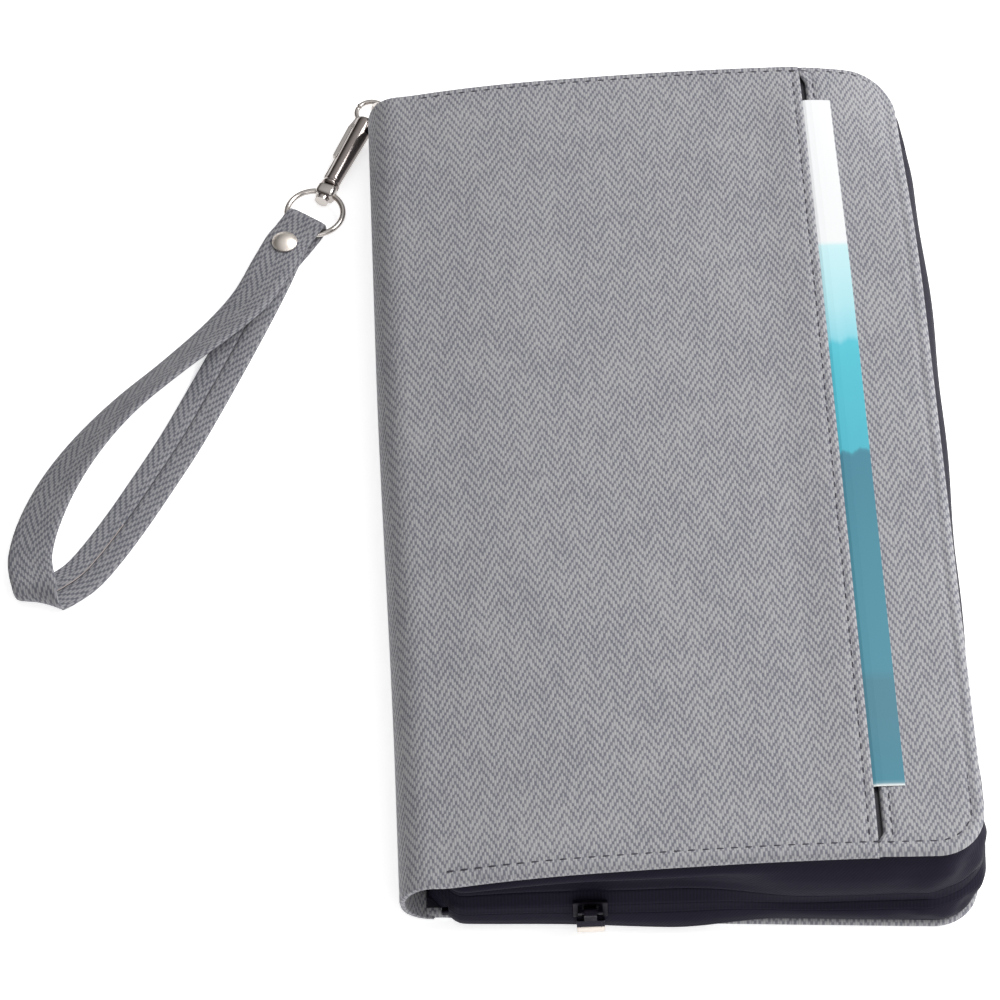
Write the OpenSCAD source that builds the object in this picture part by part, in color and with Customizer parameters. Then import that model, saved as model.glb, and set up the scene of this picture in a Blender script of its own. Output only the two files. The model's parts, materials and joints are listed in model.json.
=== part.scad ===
// Zip-round passport holder wallet with a slip pocket, snap hook and wrist strap.
// The wallet lies on its back cover. X runs from the spine to the zip side, Y up the
// covers' height and Z up. The origin is the middle of the back cover's rest face.

/* [Covers] */
// Width from the spine's outer face to the covers' zip side
wallet_w = 138; // [132:1:146]
// Height of both covers
wallet_h = 240; // [225:1:250]
// Thickness over the spine
spine_t = 16; // [15:0.5:17]
// Thickness over the covers at the zip side
zip_side_t = 25; // [23:0.5:28]
// Radius of the covers' two outer corners
corner_r = 12; // [9:1:15]
// Width of the strip of front cover that the slip pocket leaves bare
bare_strip_w = 25.5; // [20:0.5:30]

/* [Zip] */
// How far the closed zip stands out past the covers at the corners
zip_bulge = 3; // [1:0.5:4]
// Distance from the spine's face to the middle of the slider
slider_from_spine = 46; // [35:1:60]

/* [Leaflet] */
// Width of the leaflet in the slip pocket
leaflet_w = 99; // [90:1:100]
// Height of the leaflet in the slip pocket
leaflet_h = 210; // [190:1:212]

/* [Hook and strap] */
// Direction of the snap hook, seen from above, from its swivel to its tip
hook_angle = 65; // [62:1:66]
// Width of the wrist strap
strap_w = 11; // [10:0.5:11.5]
// Thickness of one ply of the wrist strap
strap_t = 1.5; // [1.2:0.1:1.6]
// Diameter of the round loop that the strap hangs in, at the middle of its wire
loop_d = 14.6; // [14:0.2:15]
// Diameter of the rivet's cap
rivet_d = 6.5; // [6:0.5:8]

/* [Hidden] */

fabric_grey = [0.58, 0.58, 0.60];
gusset_black = [0.16, 0.15, 0.20];
lining_black = [0.12, 0.12, 0.15];
board_brown = [0.55, 0.48, 0.38];
metal_nickel = [0.78, 0.76, 0.74];
metal_black = [0.12, 0.12, 0.13];

$fn = 48;
tiny = 0.01;

// Cover sections, from the outside in
half_w = wallet_w / 2;
half_h = wallet_h / 2;
spine_r = spine_t / 2;
spine_x = -half_w + spine_r;
fabric_t = 0.9;
board_t = 1.2;
board_inset = 3;
lining_t = 0.4;
lining_inset = 1;
back_board_top = fabric_t + board_t;
back_t = back_board_top + lining_t;
back_w = half_w - spine_x;

// The front cover rises from the spine to the zip side
tilt = atan((zip_side_t - spine_t) / back_w);
front_w = back_w / cos(tilt);
panel_t = 0.7;
pocket_gap = 0.6;
leaflet_t = 0.24;
pocket_floor = -panel_t - pocket_gap;
pocket_lining_t = 0.25;
front_fabric_t = 0.7;
front_board_top = pocket_floor - front_fabric_t;
front_board_bottom = front_board_top - board_t + 0.1;
front_t = -front_board_bottom + lining_t;
slit_u = front_w - bare_strip_w;
hem_w = 4;

function front_z(x) = spine_t + (x - spine_x) * tan(tilt);
function under_z(x) = front_z(x) - front_t / cos(tilt);
function mid_z(x) = (under_z(x) + back_t) / 2;
function half_gap(x) = (under_z(x) - back_t) / 2;

// Cover hinge, just outside the upper shoulder of the rounded spine
hinge_angle = 135;
hinge_r = spine_r + 0.3;
hinge_x = spine_x + hinge_r * cos(hinge_angle);
hinge_z = spine_r + hinge_r * sin(hinge_angle);

// The gusset runs round three sides. A station is [x, y, outward x, outward y].
gusset_x = -half_w + 13;
run_steps = 8;
corner_steps = 6;
straight_x = half_w - corner_r;
straight_y = half_h - corner_r;
stations = concat(
    [for (i = [0 : run_steps])
        [gusset_x + (straight_x - gusset_x) * i / run_steps, -half_h, 0, -1]],
    [for (i = [1 : corner_steps - 1])
        let (a = -90 + 90 * i / corner_steps)
        [straight_x + corner_r * cos(a), -straight_y + corner_r * sin(a), cos(a), sin(a)]],
    [for (i = [0 : run_steps])
        [half_w, -straight_y + 2 * straight_y * i / run_steps, 1, 0]],
    [for (i = [1 : corner_steps - 1])
        let (a = 90 * i / corner_steps)
        [straight_x + corner_r * cos(a), straight_y + corner_r * sin(a), cos(a), sin(a)]],
    [for (i = [0 : run_steps])
        [straight_x - (straight_x - gusset_x) * i / run_steps, half_h, 0, 1]]);
edge_inset = 1.2;
wall_t = 0.9;
slit_half = 0.6;
tape_w = 3;
coil_w = 0.9;
coil_t = 1;
coil_y = wall_t + 0.1;

function bulge(x) = zip_bulge * min(1, max(0, (x - gusset_x) / (straight_x - gusset_x)));
// Outward offset of the wall at a height d from the zip's middle plane
function wall_offset(x, d) =
    let (share = d / half_gap(x))
    bulge(x) * (1 - share) - edge_inset * share;

// Zip slider, on the bottom run of the zip
slider_x = -half_w + slider_from_spine;
zip_skew = atan(zip_bulge / (straight_x - gusset_x));
slider_w = 8;
slider_h = 6;
slider_gap = 0.35;
outer_plate_t = 0.9;
inner_plate_y = coil_y + coil_t + 0.9;
lug_y = 1.3;
lug_z = 1.1;
lug_r = 0.5;
pull_gap = 0.08;
pull_w = 8;
pull_t = 1.2;
pull_drop = 8.8;

// D-ring, standing on edge beside the top end of the spine
ring_bar = [-half_w + 6.5, half_h + 1.6];
ring_mid_z = 5.4;
ring_angle = 130;
ring_wire = 0.8;
ring_leg = 3;
ring_r = 4.2;
ring_reach = ring_leg + ring_r;

// Snap hook. Its own axes are u from the swivel to the tip and v to the left.
claw_u = 29.4;
claw_r = 3.9;
claw_wire = 0.7;
hook_z = 3.2;
ring_grip = 6.6;
claw_at = ring_bar + 8.35 * [cos(ring_angle), sin(ring_angle)];
hook_at = claw_at - claw_u * [cos(hook_angle), sin(hook_angle)];
barrel_start = 3.4;
barrel_end = 26;
barrel_r1 = 2.1;
barrel_r2 = 2.7;
pivot_u = 22.3;
pivot_v = 1.9;
pivot_r = 0.6;
slot_start = 11.5;
slot_half = 0.9;
lever_half = 0.65;
gate_start = 88;
gate_end = 150;
claw_end = 75;
boss_half_u = 2;
boss_half_v = 2.6;
boss_half_z = 2.3;
post_r = 1;

// Swivel loop and wrist strap. The strap's eye slides round the loop's wire.
loop_wire = 0.75;
strap_angle = 235;
loop_at = hook_at - loop_d / 2 * [cos(hook_angle), sin(hook_angle)];
eye_at = loop_at + loop_d / 2 * [cos(strap_angle), sin(strap_angle)];
rivet_at = [-3.7, -5.3];
fold_back = 2.6;
fold_r = 1.8;

// The far bend is half a turn about a level line, along which the strap moves a little
bend_at = [-64.9, -111.4];
bend_z = 4;
bend_r = 2.35;
bend_line = -16;
bend_advance = 3.5;
function bend_point(a) =
    bend_at - a / 180 * bend_advance * [cos(bend_line), sin(bend_line)]
    + bend_r * cos(a) * [sin(bend_line), -cos(bend_line)];

// The strap's middle line from one riveted end, round the loop, out along the upper ply,
// round the far bend and back along the lower ply. Each point is [x, y] from the eye, z,
// the direction of the strap's width in plan, and how far its inner edge is lifted.
fold_at = fold_back * [-cos(strap_angle), -sin(strap_angle)];
strap_route = concat(
    [[-5.7, -8.2, 1.1, -35, 0], [-3.7, -5.3, 1.1, -35, 0], [-1.5, -2.2, 1.1, -35, 0]],
    [for (a = [-90 : 30 : 90])
        [fold_at[0] - fold_r * cos(a) * cos(strap_angle),
         fold_at[1] - fold_r * cos(a) * sin(strap_angle),
         hook_z + fold_r * sin(a), -35, 0]],
    [[-1.5, -2.2, 4.45, -35, 0], [-3.7, -5.3, 4.4, -35, 0], [-7, -12, 4.4, -37, 2],
     [-12.5, -23, 5, -41, 12], [-20.5, -33, 5.6, -47, 24], [-32, -45, 6.6, -47, 33],
     [-43, -56, 7, -45, 33], [-51, -65.5, 7, -38, 29], [-57.5, -75, 6.7, -30, 23],
     [-62.5, -84.5, 6.3, -23, 16], [-66, -94, 6, -14, 10], [-67.6, -102, 6, -7, 5],
     [-67.4, -107, 6.2, -8, 2]],
    [for (a = [90 : -30 : -90])
        [bend_point(a)[0], bend_point(a)[1], bend_z + bend_r * sin(a), bend_line, 0]],
    [[-59.4, -109.1, 1.3, -40, 0], [-54.9, -105.2, 1.1, -32, 0], [-50, -98.6, 1.1, -29, 0],
     [-44, -89, 1.1, -29, 0], [-37.5, -77.5, 1.1, -28, 0],
     [-31, -65.5, 1.1, -28, 0], [-24.7, -52.5, 1.2, -28, 0], [-18.8, -40, 1.5, -28, 0],
     [-13, -27.5, 2, -29, 0], [-8, -16, 2.4, -31, 0], [-3.7, -5.3, 2.75, -35, 0],
     [-1.5, -2.2, 2.75, -35, 0]]);
ply_z = [1.1, 2.75, 4.4];

// ---- Shapes used more than once -------------------------------------------------

// Outline of a cover, from the spine at x = 0 to its two rounded outer corners
module panel_outline(w, inset) {
    translate([0, -half_h + inset]) square([w - corner_r, wallet_h - 2 * inset]);
    translate([0, -half_h + corner_r]) square([w - inset, wallet_h - 2 * corner_r]);
    for (s = [-1, 1]) translate([w - corner_r, s * straight_y]) circle(corner_r - inset);
}

module back_slab(bottom, top, inset) {
    translate([spine_x, 0, bottom]) linear_extrude(top - bottom) panel_outline(back_w, inset);
}

// The front cover's own axes start at the spine's top and rise with the cover
module on_front() {
    translate([spine_x, 0, spine_t]) rotate([0, -tilt, 0]) children();
}

module front_slab(bottom, top, inset) {
    translate([0, 0, bottom]) linear_extrude(top - bottom) panel_outline(front_w, inset);
}

module block(low, high) {
    translate(low) cube(high - low);
}

// A length of the spine's round section, between two angles
module spine_arc(outer, inner, from, to) {
    translate([spine_x, half_h, spine_r]) rotate([90, 0, 0]) linear_extrude(wallet_h)
        intersection() {
            difference() {
                circle(outer);
                circle(inner);
            }
            polygon(concat([[0, 0]],
                [for (i = [0 : 4]) let (a = from + (to - from) * i / 4)
                    2 * outer * [cos(a), sin(a)]]));
        }
}

// Triangles between each section and the next
function ring_faces(rings, sides) =
    [for (i = [0 : rings - 2], j = [0 : sides - 1])
        let (a = i * sides + j, b = i * sides + (j + 1) % sides)
        each [[a, b, b + sides], [a, b + sides, a + sides]]];

// A solid with one section after another, each with the same number of points
module loft(sections, flip) {
    sides = len(sections[0]);
    rings = len(sections);
    first = [for (j = [sides - 1 : -1 : 0]) j];
    last = [for (j = [0 : sides - 1]) (rings - 1) * sides + j];
    faces = concat([first], ring_faces(rings, sides), [last]);
    polyhedron([for (s = sections) each s],
        flip ? [for (f = faces) [for (k = [len(f) - 1 : -1 : 0]) f[k]]] : faces);
}

// A band of the gusset wall above (side 1) or below (side -1) the zip's middle plane,
// between two distances from it and two depths from the wall's outer face
module gusset_band(side, near, far, outer, inner) {
    sections = [for (s = stations)
        let (top = far > 0 ? far : half_gap(s[0]),
             low = wall_offset(s[0], near), high = wall_offset(s[0], top))
        [for (p = [[low - outer, near], [high - outer, top],
                   [high - inner, top], [low - inner, near]])
            let (x = s[0] + s[2] * p[0])
            [x, s[1] + s[3] * p[0], mid_z(x) + side * min(p[1], half_gap(x))]]];
    loft(sections, side > 0);
}

// A flat sheet pocket with a hem under three of its sides, open at the top
module sheet_pocket(low, high, gap, sheet, hem) {
    block([low[0], low[1], low[2] + gap], [high[0], high[1], low[2] + gap + sheet]);
    block(low, [low[0] + hem, high[1], low[2] + gap]);
    block([high[0] - hem, low[1], low[2]], [high[0], high[1], low[2] + gap]);
    block([low[0] + hem, low[1], low[2]], [high[0] - hem, low[1] + hem, low[2] + gap]);
}

module wire(length, r) {
    cylinder(h = length, r = r);
}

module wire_arc(r, thickness, from, to) {
    rotate([0, 0, from]) rotate_extrude(angle = to - from) translate([r, 0]) circle(thickness);
}

// ---- Back cover and spine -------------------------------------------------------

module back_cover() {
    color(fabric_grey) difference() {
        back_slab(0, back_board_top, 0);
        back_slab(fabric_t, back_board_top + 1, board_inset);
    }
}

module back_board() {
    color(board_brown) intersection() {
        back_slab(fabric_t, back_board_top, board_inset);
        block([spine_x + tiny, -wallet_h, -1], [wallet_w, wallet_h, spine_t]);
    }
}

module back_lining() {
    color(lining_black) back_slab(back_board_top, back_t, lining_inset);
}

module spine_cover() {
    color(fabric_grey) spine_arc(spine_r, spine_r - fabric_t, hinge_angle, 270);
}

module spine_lining() {
    color(lining_black)
        spine_arc(spine_r - fabric_t - 0.1, spine_r - fabric_t - 0.1 - lining_t,
            hinge_angle + 8, 270);
}

// ---- Gusset and zip -------------------------------------------------------------

module back_gusset() {
    color(gusset_black) gusset_band(-1, slit_half + tape_w, 0, 0, wall_t);
}

module back_zip_tape() {
    color(gusset_black) gusset_band(-1, slit_half, slit_half + tape_w, 0, wall_t);
}

module back_zip_coil() {
    color(lining_black)
        gusset_band(-1, slit_half, slit_half + coil_w, coil_y, coil_y + coil_t);
}

module front_gusset() {
    color(gusset_black) gusset_band(1, slit_half + tape_w, 0, 0, wall_t);
}

module front_zip_tape() {
    color(gusset_black) gusset_band(1, slit_half, slit_half + tape_w, 0, wall_t);
}

module front_zip_coil() {
    color(lining_black)
        gusset_band(1, slit_half, slit_half + coil_w, coil_y, coil_y + coil_t);
}

// One stop at each end of the zip, just before its first station
module zip_end_stops() {
    stop = 1.6;
    color(metal_black) for (s = [-1, 1])
        translate([gusset_x - stop, s * (half_h - wall_t / 2) - stop / 2,
                   mid_z(gusset_x) - slit_half - stop])
            cube([stop, stop, stop]);
}

// The slider's own axes: x along the zip, y into the wallet, z up the wall
module on_slider() {
    translate([slider_x, -half_h - bulge(slider_x), mid_z(slider_x)])
        rotate([0, -tilt / 2, -zip_skew]) children();
}

module zip_slider() {
    outer_face = -slider_gap - outer_plate_t;
    color(metal_black) on_slider() {
        block([-slider_w / 2, outer_face, -slider_h / 2],
            [slider_w / 2, -slider_gap, slider_h / 2]);
        block([-slider_w / 2, inner_plate_y, -slider_h / 2],
            [slider_w / 2, inner_plate_y + 0.7, slider_h / 2]);
        block([-slider_w / 2, -slider_gap, -0.4], [-1, inner_plate_y, 0.4]);
        for (s = [-1, 1]) block([s * 2.4 - 0.5, outer_face - lug_y - lug_r, lug_z - lug_r],
            [s * 2.4 + 0.5, outer_face, lug_z + lug_r]);
        translate([-2, outer_face - lug_y, lug_z]) rotate([0, 90, 0]) wire(4, lug_r);
    }
}

// The puller hangs from the slider's bar
module on_puller() {
    on_slider() translate([0, -slider_gap - outer_plate_t - lug_y, lug_z]) children();
}

module puller_link() {
    color(metal_black) on_puller() difference() {
        union() {
            rotate([0, 90, 0]) translate([0, 0, -1.5]) wire(3, lug_r + 0.6);
            block([-1.5, -pull_t / 2, -3.4], [1.5, pull_t / 2, 0]);
        }
        rotate([0, 90, 0]) translate([0, 0, -3]) wire(6, lug_r + pull_gap);
    }
}

module puller_tab() {
    color(gusset_black) on_puller()
        block([-pull_w / 2, -pull_t / 2, -pull_drop + 2.4], [pull_w / 2, pull_t / 2, -3.4]);
}

module puller_end() {
    color(metal_nickel) on_puller()
        block([-pull_w / 2, -pull_t / 2 - 0.3, -pull_drop],
            [pull_w / 2, pull_t / 2 + 0.3, -pull_drop + 2.4]);
}

// ---- Inside the back ------------------------------------------------------------

pocket_x1 = -half_w + 26;
pocket_x2 = half_w - 9;
pocket_y = half_h - 9;
pocket_sheet = 0.4;
document_gap = 0.5;
document_top = back_t + document_gap + pocket_sheet;
slot_w = 92;
slot_step = 14;
slot_t = 0.5;

module document_pocket() {
    color(lining_black)
        sheet_pocket([pocket_x1, -pocket_y, back_t], [pocket_x2, pocket_y - 12, 0],
            document_gap, pocket_sheet, 3);
}

// Slot 1 is the lowest and the nearest to the user
module card_slot(n) {
    bottom = document_top + (4 - n) * slot_t;
    color(gusset_black)
        block([pocket_x1 + 8, -pocket_y + 6, bottom],
            [pocket_x1 + 8 + slot_w, -pocket_y + 44 + n * slot_step, bottom + slot_t]);
}

pen_r = 4;
pen_at = [-half_w + 19, back_t + pen_r + 0.6];
module pen_loop() {
    color(lining_black) difference() {
        union() {
            translate([pen_at[0], 13, pen_at[1]]) rotate([90, 0, 0]) wire(26, pen_r + 0.6);
            block([pen_at[0] - 3, -13, back_t], [pen_at[0] + 3, 13, back_t + 1]);
        }
        translate([pen_at[0], 14, pen_at[1]]) rotate([90, 0, 0]) wire(28, pen_r);
    }
}

// ---- Front cover ----------------------------------------------------------------

module front_cover() {
    color(fabric_grey) on_front() difference() {
        front_slab(front_board_bottom, pocket_floor, 0);
        front_slab(front_board_bottom - 1, front_board_top, board_inset);
        block([hem_w, -half_h + hem_w, pocket_floor - pocket_lining_t],
            [slit_u + 1.6, half_h - hem_w, pocket_floor + 1]);
    }
}

module front_spine_fold() {
    color(fabric_grey) spine_arc(spine_r, spine_r - fabric_t, 90, hinge_angle - 4);
}

module front_board() {
    color(board_brown) on_front() intersection() {
        front_slab(front_board_bottom, front_board_top, board_inset);
        block([tiny, -wallet_h, -spine_t], [wallet_w, wallet_h, spine_t]);
    }
}

module front_lining() {
    color(lining_black) on_front() front_slab(-front_t, front_board_bottom, lining_inset);
}

module pocket_lining() {
    color(lining_black) on_front()
        block([hem_w, -half_h + hem_w, pocket_floor - pocket_lining_t],
            [slit_u + 1.6, half_h - hem_w, pocket_floor]);
}

// The slip pocket's panel, with the hems that close it on three sides
module slip_pocket_panel() {
    color(fabric_grey) on_front() {
        block([0, -half_h, -panel_t], [slit_u, half_h, 0]);
        block([0, -half_h, pocket_floor], [hem_w, half_h, -panel_t]);
        for (s = [-1, 1])
            block([hem_w, s * (half_h - hem_w / 2) - hem_w / 2, pocket_floor],
                [slit_u, s * (half_h - hem_w / 2) + hem_w / 2, -panel_t]);
    }
}

inner_u1 = 26;
inner_u2 = front_w - 8;
sleeve_w = 92;

module boarding_pass_pocket() {
    color(lining_black) on_front() mirror([0, 0, 1])
        sheet_pocket([inner_u1, -pocket_y, front_t], [inner_u2, pocket_y - 14, 0],
            document_gap, pocket_sheet, 3);
}

module passport_sleeve() {
    top = front_t + document_gap + pocket_sheet;
    color(gusset_black) on_front() mirror([0, 0, 1])
        sheet_pocket([inner_u1 + 3, -pocket_y + 4, top], [inner_u1 + 3 + sleeve_w, 15, 0],
            0.8, 0.5, 2.5);
}

// ---- Leaflet --------------------------------------------------------------------

leaflet_out = 7.5;
leaflet_up = 3;
leaflet_base = (pocket_floor - panel_t - leaflet_t) / 2;
module leaflet() {
    color("white") on_front()
        translate([slit_u + leaflet_out - leaflet_w, leaflet_up - leaflet_h / 2, leaflet_base])
            cube([leaflet_w, leaflet_h, leaflet_t]);
}

// ---- D-ring and its tab ---------------------------------------------------------

module ring_tab() {
    tab_t = 3.6;
    tab_z1 = back_t;
    tab_z2 = ring_mid_z + ring_r - ring_wire - 0.5;
    color(gusset_black) difference() {
        union() {
            block([ring_bar[0] - tab_t / 2, half_h - 12, tab_z1],
                [ring_bar[0] + tab_t / 2, ring_bar[1], tab_z2]);
            translate([ring_bar[0], ring_bar[1], tab_z1]) wire(tab_z2 - tab_z1, tab_t / 2);
        }
        translate([ring_bar[0], ring_bar[1], -1]) wire(spine_t, ring_wire + 0.08);
    }
}

module d_ring() {
    color(metal_nickel) translate([ring_bar[0], ring_bar[1], ring_mid_z])
        rotate([0, 0, ring_angle]) {
            translate([0, 0, -ring_r]) wire(2 * ring_r, ring_wire);
            for (s = [-1, 1]) translate([0, 0, s * ring_r]) {
                sphere(ring_wire);
                rotate([0, 90, 0]) wire(ring_leg, ring_wire);
            }
            translate([ring_leg, 0, 0]) rotate([90, 0, 0])
                wire_arc(ring_r, ring_wire, -90, 90);
        }
}

// ---- Snap hook ------------------------------------------------------------------

module on_hook() {
    translate([hook_at[0], hook_at[1], hook_z]) rotate([0, 0, hook_angle]) children();
}

module along_u() {
    rotate([0, 90, 0]) children();
}

module hook_body() {
    color(metal_nickel) on_hook() difference() {
        union() {
            translate([boss_half_u + 0.1, 0, 0]) along_u() wire(1.4, 2.4);
            translate([barrel_start, 0, 0]) along_u()
                cylinder(h = barrel_end - barrel_start, r1 = barrel_r1, r2 = barrel_r2);
            translate([claw_u, 0, 0]) wire_arc(claw_r, claw_wire, -155, claw_end);
            translate([claw_u + claw_r * cos(claw_end), claw_r * sin(claw_end), 0])
                sphere(claw_wire);
        }
        block([slot_start, 0, -slot_half], [barrel_end + 1, 4, slot_half]);
        translate([pivot_u, pivot_v, -4]) wire(8, pivot_r);
        along_u() wire(boss_half_u + 0.1 + 1.4, post_r);
    }
}

module swivel_rivet() {
    color(metal_nickel) on_hook() {
        translate([-boss_half_u - 0.1, 0, 0]) along_u()
            wire(2 * boss_half_u + 0.2 + 1.4, post_r);
        translate([-boss_half_u - 1.2, 0, 0]) along_u() wire(1.1, 1.8);
    }
}

module pivot_pin() {
    color(metal_nickel) on_hook() translate([pivot_u, pivot_v, -1.8]) wire(3.6, pivot_r);
}

module trigger_spring() {
    color(metal_nickel) on_hook()
        block([slot_start + 0.4, 0, -0.5], [slot_start + 6, 0.25, 0.5]);
}

// The lever is one plate in the barrel's slot: a thumb rail below the pivot and the
// gate above it, which closes the claw
module trigger_lever() {
    gate_root = [claw_u + claw_r * cos(gate_end), claw_r * sin(gate_end)];
    color(metal_nickel) on_hook() difference() {
        union() {
            translate([0, 0, -lever_half]) linear_extrude(2 * lever_half)
                polygon([[slot_start + 0.4, 2.3], [slot_start + 0.4, 3.3], [pivot_u, 3.5],
                    [gate_root[0] + 0.4, gate_root[1] + 0.9], [gate_root[0] + 0.2, 1.3],
                    [pivot_u, 0.9], [pivot_u - 3, 1.6]]);
            translate([claw_u, 0, 0]) wire_arc(claw_r, lever_half, gate_start, gate_end);
        }
        translate([pivot_u, pivot_v, -4]) wire(8, pivot_r + 0.05);
    }
}

// ---- Swivel loop and wrist strap ------------------------------------------------

module swivel_loop() {
    color(metal_nickel) on_hook() difference() {
        union() {
            translate([-loop_d / 2, 0, 0]) wire_arc(loop_d / 2, loop_wire, 0, 360);
            block([-boss_half_u, -boss_half_v, -boss_half_z],
                [boss_half_u, boss_half_v, boss_half_z]);
        }
        translate([-8, 0, 0]) along_u() wire(16, post_r + 0.05);
    }
}

function unit(v) = v / norm(v);

// Section of the strap at point i: four corners across its width and thickness
function strap_section(i) =
    let (p = strap_route[i], last = len(strap_route) - 1,
         a = strap_route[max(0, i - 1)], b = strap_route[min(last, i + 1)],
         t = unit([b[0] - a[0], b[1] - a[1], b[2] - a[2]]),
         lean = [cos(p[3]) * cos(p[4]), sin(p[3]) * cos(p[4]), sin(p[4])],
         n = unit(cross(t, lean)), w = cross(n, t),
         c = [eye_at[0] + p[0], eye_at[1] + p[1], p[2]])
    [c + strap_w / 2 * w + strap_t / 2 * n, c - strap_w / 2 * w + strap_t / 2 * n,
     c - strap_w / 2 * w - strap_t / 2 * n, c + strap_w / 2 * w - strap_t / 2 * n];

module wrist_strap() {
    color(fabric_grey)
        loft([for (i = [0 : len(strap_route) - 1]) strap_section(i)], true);
}

module rivet_post() {
    color(metal_nickel) translate([eye_at[0] + rivet_at[0], eye_at[1] + rivet_at[1], 0]) {
        translate([0, 0, 0.05]) wire(0.3, rivet_d / 2 - 0.5);
        translate([0, 0, 0.05]) wire(ply_z[2] + strap_t / 2, 1.2);
    }
}

module rivet_cap() {
    cap_z = ply_z[2] + strap_t / 2 + 0.2;
    dome_r = 5;
    dome_drop = sqrt(pow(dome_r, 2) - pow(rivet_d / 2, 2));
    color(metal_nickel)
        translate([eye_at[0] + rivet_at[0], eye_at[1] + rivet_at[1], cap_z]) {
            wire(0.4, rivet_d / 2);
            intersection() {
                translate([0, 0, 0.4 - dome_drop]) sphere(dome_r);
                translate([0, 0, 0.4]) wire(dome_r, rivet_d / 2);
            }
        }
}

back_cover();
back_board();
back_lining();
spine_cover();
spine_lining();
back_gusset();
back_zip_tape();
back_zip_coil();
zip_end_stops();
document_pocket();
card_slot(1);  // card_slot_1
card_slot(2);  // card_slot_2
card_slot(3);  // card_slot_3
card_slot(4);  // card_slot_4
pen_loop();
ring_tab();
front_cover();
front_spine_fold();
front_board();
front_lining();
pocket_lining();
slip_pocket_panel();
front_gusset();
front_zip_tape();
front_zip_coil();
boarding_pass_pocket();
passport_sleeve();
leaflet();
zip_slider();
puller_link();
puller_tab();
puller_end();
d_ring();
hook_body();
pivot_pin();
trigger_spring();
swivel_rivet();
trigger_lever();
swivel_loop();
wrist_strap();
rivet_post();
rivet_cap();
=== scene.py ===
"""Looks of the passport holder wallet: woven covers, sculpted gusset, strap and hardware.

Lengths are in millimetres until a mesh is made. The wallet lies on its back cover, with X
from the spine to the zip side, Y up the covers and Z up.
"""

import itertools
import json
import math

import bpy
import numpy as np
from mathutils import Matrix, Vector


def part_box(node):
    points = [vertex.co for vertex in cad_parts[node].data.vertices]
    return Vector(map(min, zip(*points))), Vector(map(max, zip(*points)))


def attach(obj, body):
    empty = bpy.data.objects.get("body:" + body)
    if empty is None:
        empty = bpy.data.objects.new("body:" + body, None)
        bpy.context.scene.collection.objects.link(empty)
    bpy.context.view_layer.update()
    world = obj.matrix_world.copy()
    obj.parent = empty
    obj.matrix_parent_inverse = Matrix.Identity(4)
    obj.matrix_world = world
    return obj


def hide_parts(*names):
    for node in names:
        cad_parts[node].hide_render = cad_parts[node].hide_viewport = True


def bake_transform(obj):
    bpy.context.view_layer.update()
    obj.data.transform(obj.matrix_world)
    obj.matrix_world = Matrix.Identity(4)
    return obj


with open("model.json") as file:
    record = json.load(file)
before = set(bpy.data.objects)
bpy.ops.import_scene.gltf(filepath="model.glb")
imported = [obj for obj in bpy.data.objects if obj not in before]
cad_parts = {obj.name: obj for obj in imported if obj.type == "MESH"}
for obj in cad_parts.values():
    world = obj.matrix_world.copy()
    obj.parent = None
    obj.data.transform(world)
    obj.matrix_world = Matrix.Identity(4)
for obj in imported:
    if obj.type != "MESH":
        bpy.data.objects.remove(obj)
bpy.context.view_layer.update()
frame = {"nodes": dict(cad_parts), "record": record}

MM = 0.001
UP = np.array([0.0, 0.0, 1.0])

# ---- Places read from the frame ----


def node_box(node):
    low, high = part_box(node)
    return np.array(low) / MM, np.array(high) / MM


def joint(name):
    return next(j for j in frame["record"]["behaviour"]["joints"] if j["name"] == name)


def joint_place(name):
    return np.array(joint(name)["pos_m"]) / MM


back_low, back_high = node_box("back_cover")
SPINE_X, HALF_W = back_low[0], back_high[0]
HALF_H = back_high[1]
SPINE_R = SPINE_X - node_box("spine_cover")[0][0]
SPINE_T = 2 * SPINE_R
BACK_TOP = node_box("back_lining")[1][2]
FRONT_AXIS = np.array(joint("leaflet_slide")["axis"])
TILT = math.atan2(FRONT_AXIS[2], FRONT_AXIS[0])
BACK_W = HALF_W - SPINE_X
FRONT_W = BACK_W / math.cos(TILT)
FRONT_T = 3.5
SLIT_U = (node_box("slip_pocket_panel")[1][0] - SPINE_X) / math.cos(TILT)
STRIP_U = SLIT_U + 1.2
CORNER_R = 12
# Heights above and below the middle at which the covers' rounded corners start
CORNER_Y = HALF_H - CORNER_R
HOOK = joint_place("swivel_turn")
HOOK_AXIS = np.array(joint("swivel_turn")["axis"])
HOOK_AXES = (HOOK_AXIS, np.cross(UP, HOOK_AXIS), UP)
LOOP = joint_place("strap_swing")
# The claw's middle along the hook, its radius, and the angle of its tip
CLAW_U, CLAW_R, CLAW_END = 29.4, 3.9, 75
SLOT_HALF_W = 0.95

# How the filled wallet stretches its covers
CROWN_AT_SPINE = 3.0
CROWN = 5.5
CROWN_AT_ZIP = 0.9
CROWN_PEAK = 0.31
CORNER_DROOP = 2.6
SPINE_LEAN = 1.4
MOUTH_LIFT = 0.9
CORNER_PULL = 1.4

# Sewing
STITCH_INSET = 3.0
STITCH_PITCH = 3.3
STITCH_LENGTH = 1.8
STITCH_R = 0.21
THREAD_SUNK = 0.27
FACING = 22.0
LINING_INSET = 1.7
SPINE_SKIN = 1.5
SPINE_LINING_TOP = 15.5
STRIP_LOWER = 0.3

# Steps of the sewn lines and of the panel's section
LINE_STEP = 0.4
SECTION_STEP = 0.6


def smooth(x, a, b):
    """A smooth rise from 0 at a to 1 at b."""
    t = np.clip((np.asarray(x, float) - a) / (b - a), 0, 1)
    return t * t * (3 - 2 * t)


def front_z(x):
    return SPINE_T + (x - SPINE_X) * math.tan(TILT)


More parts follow.
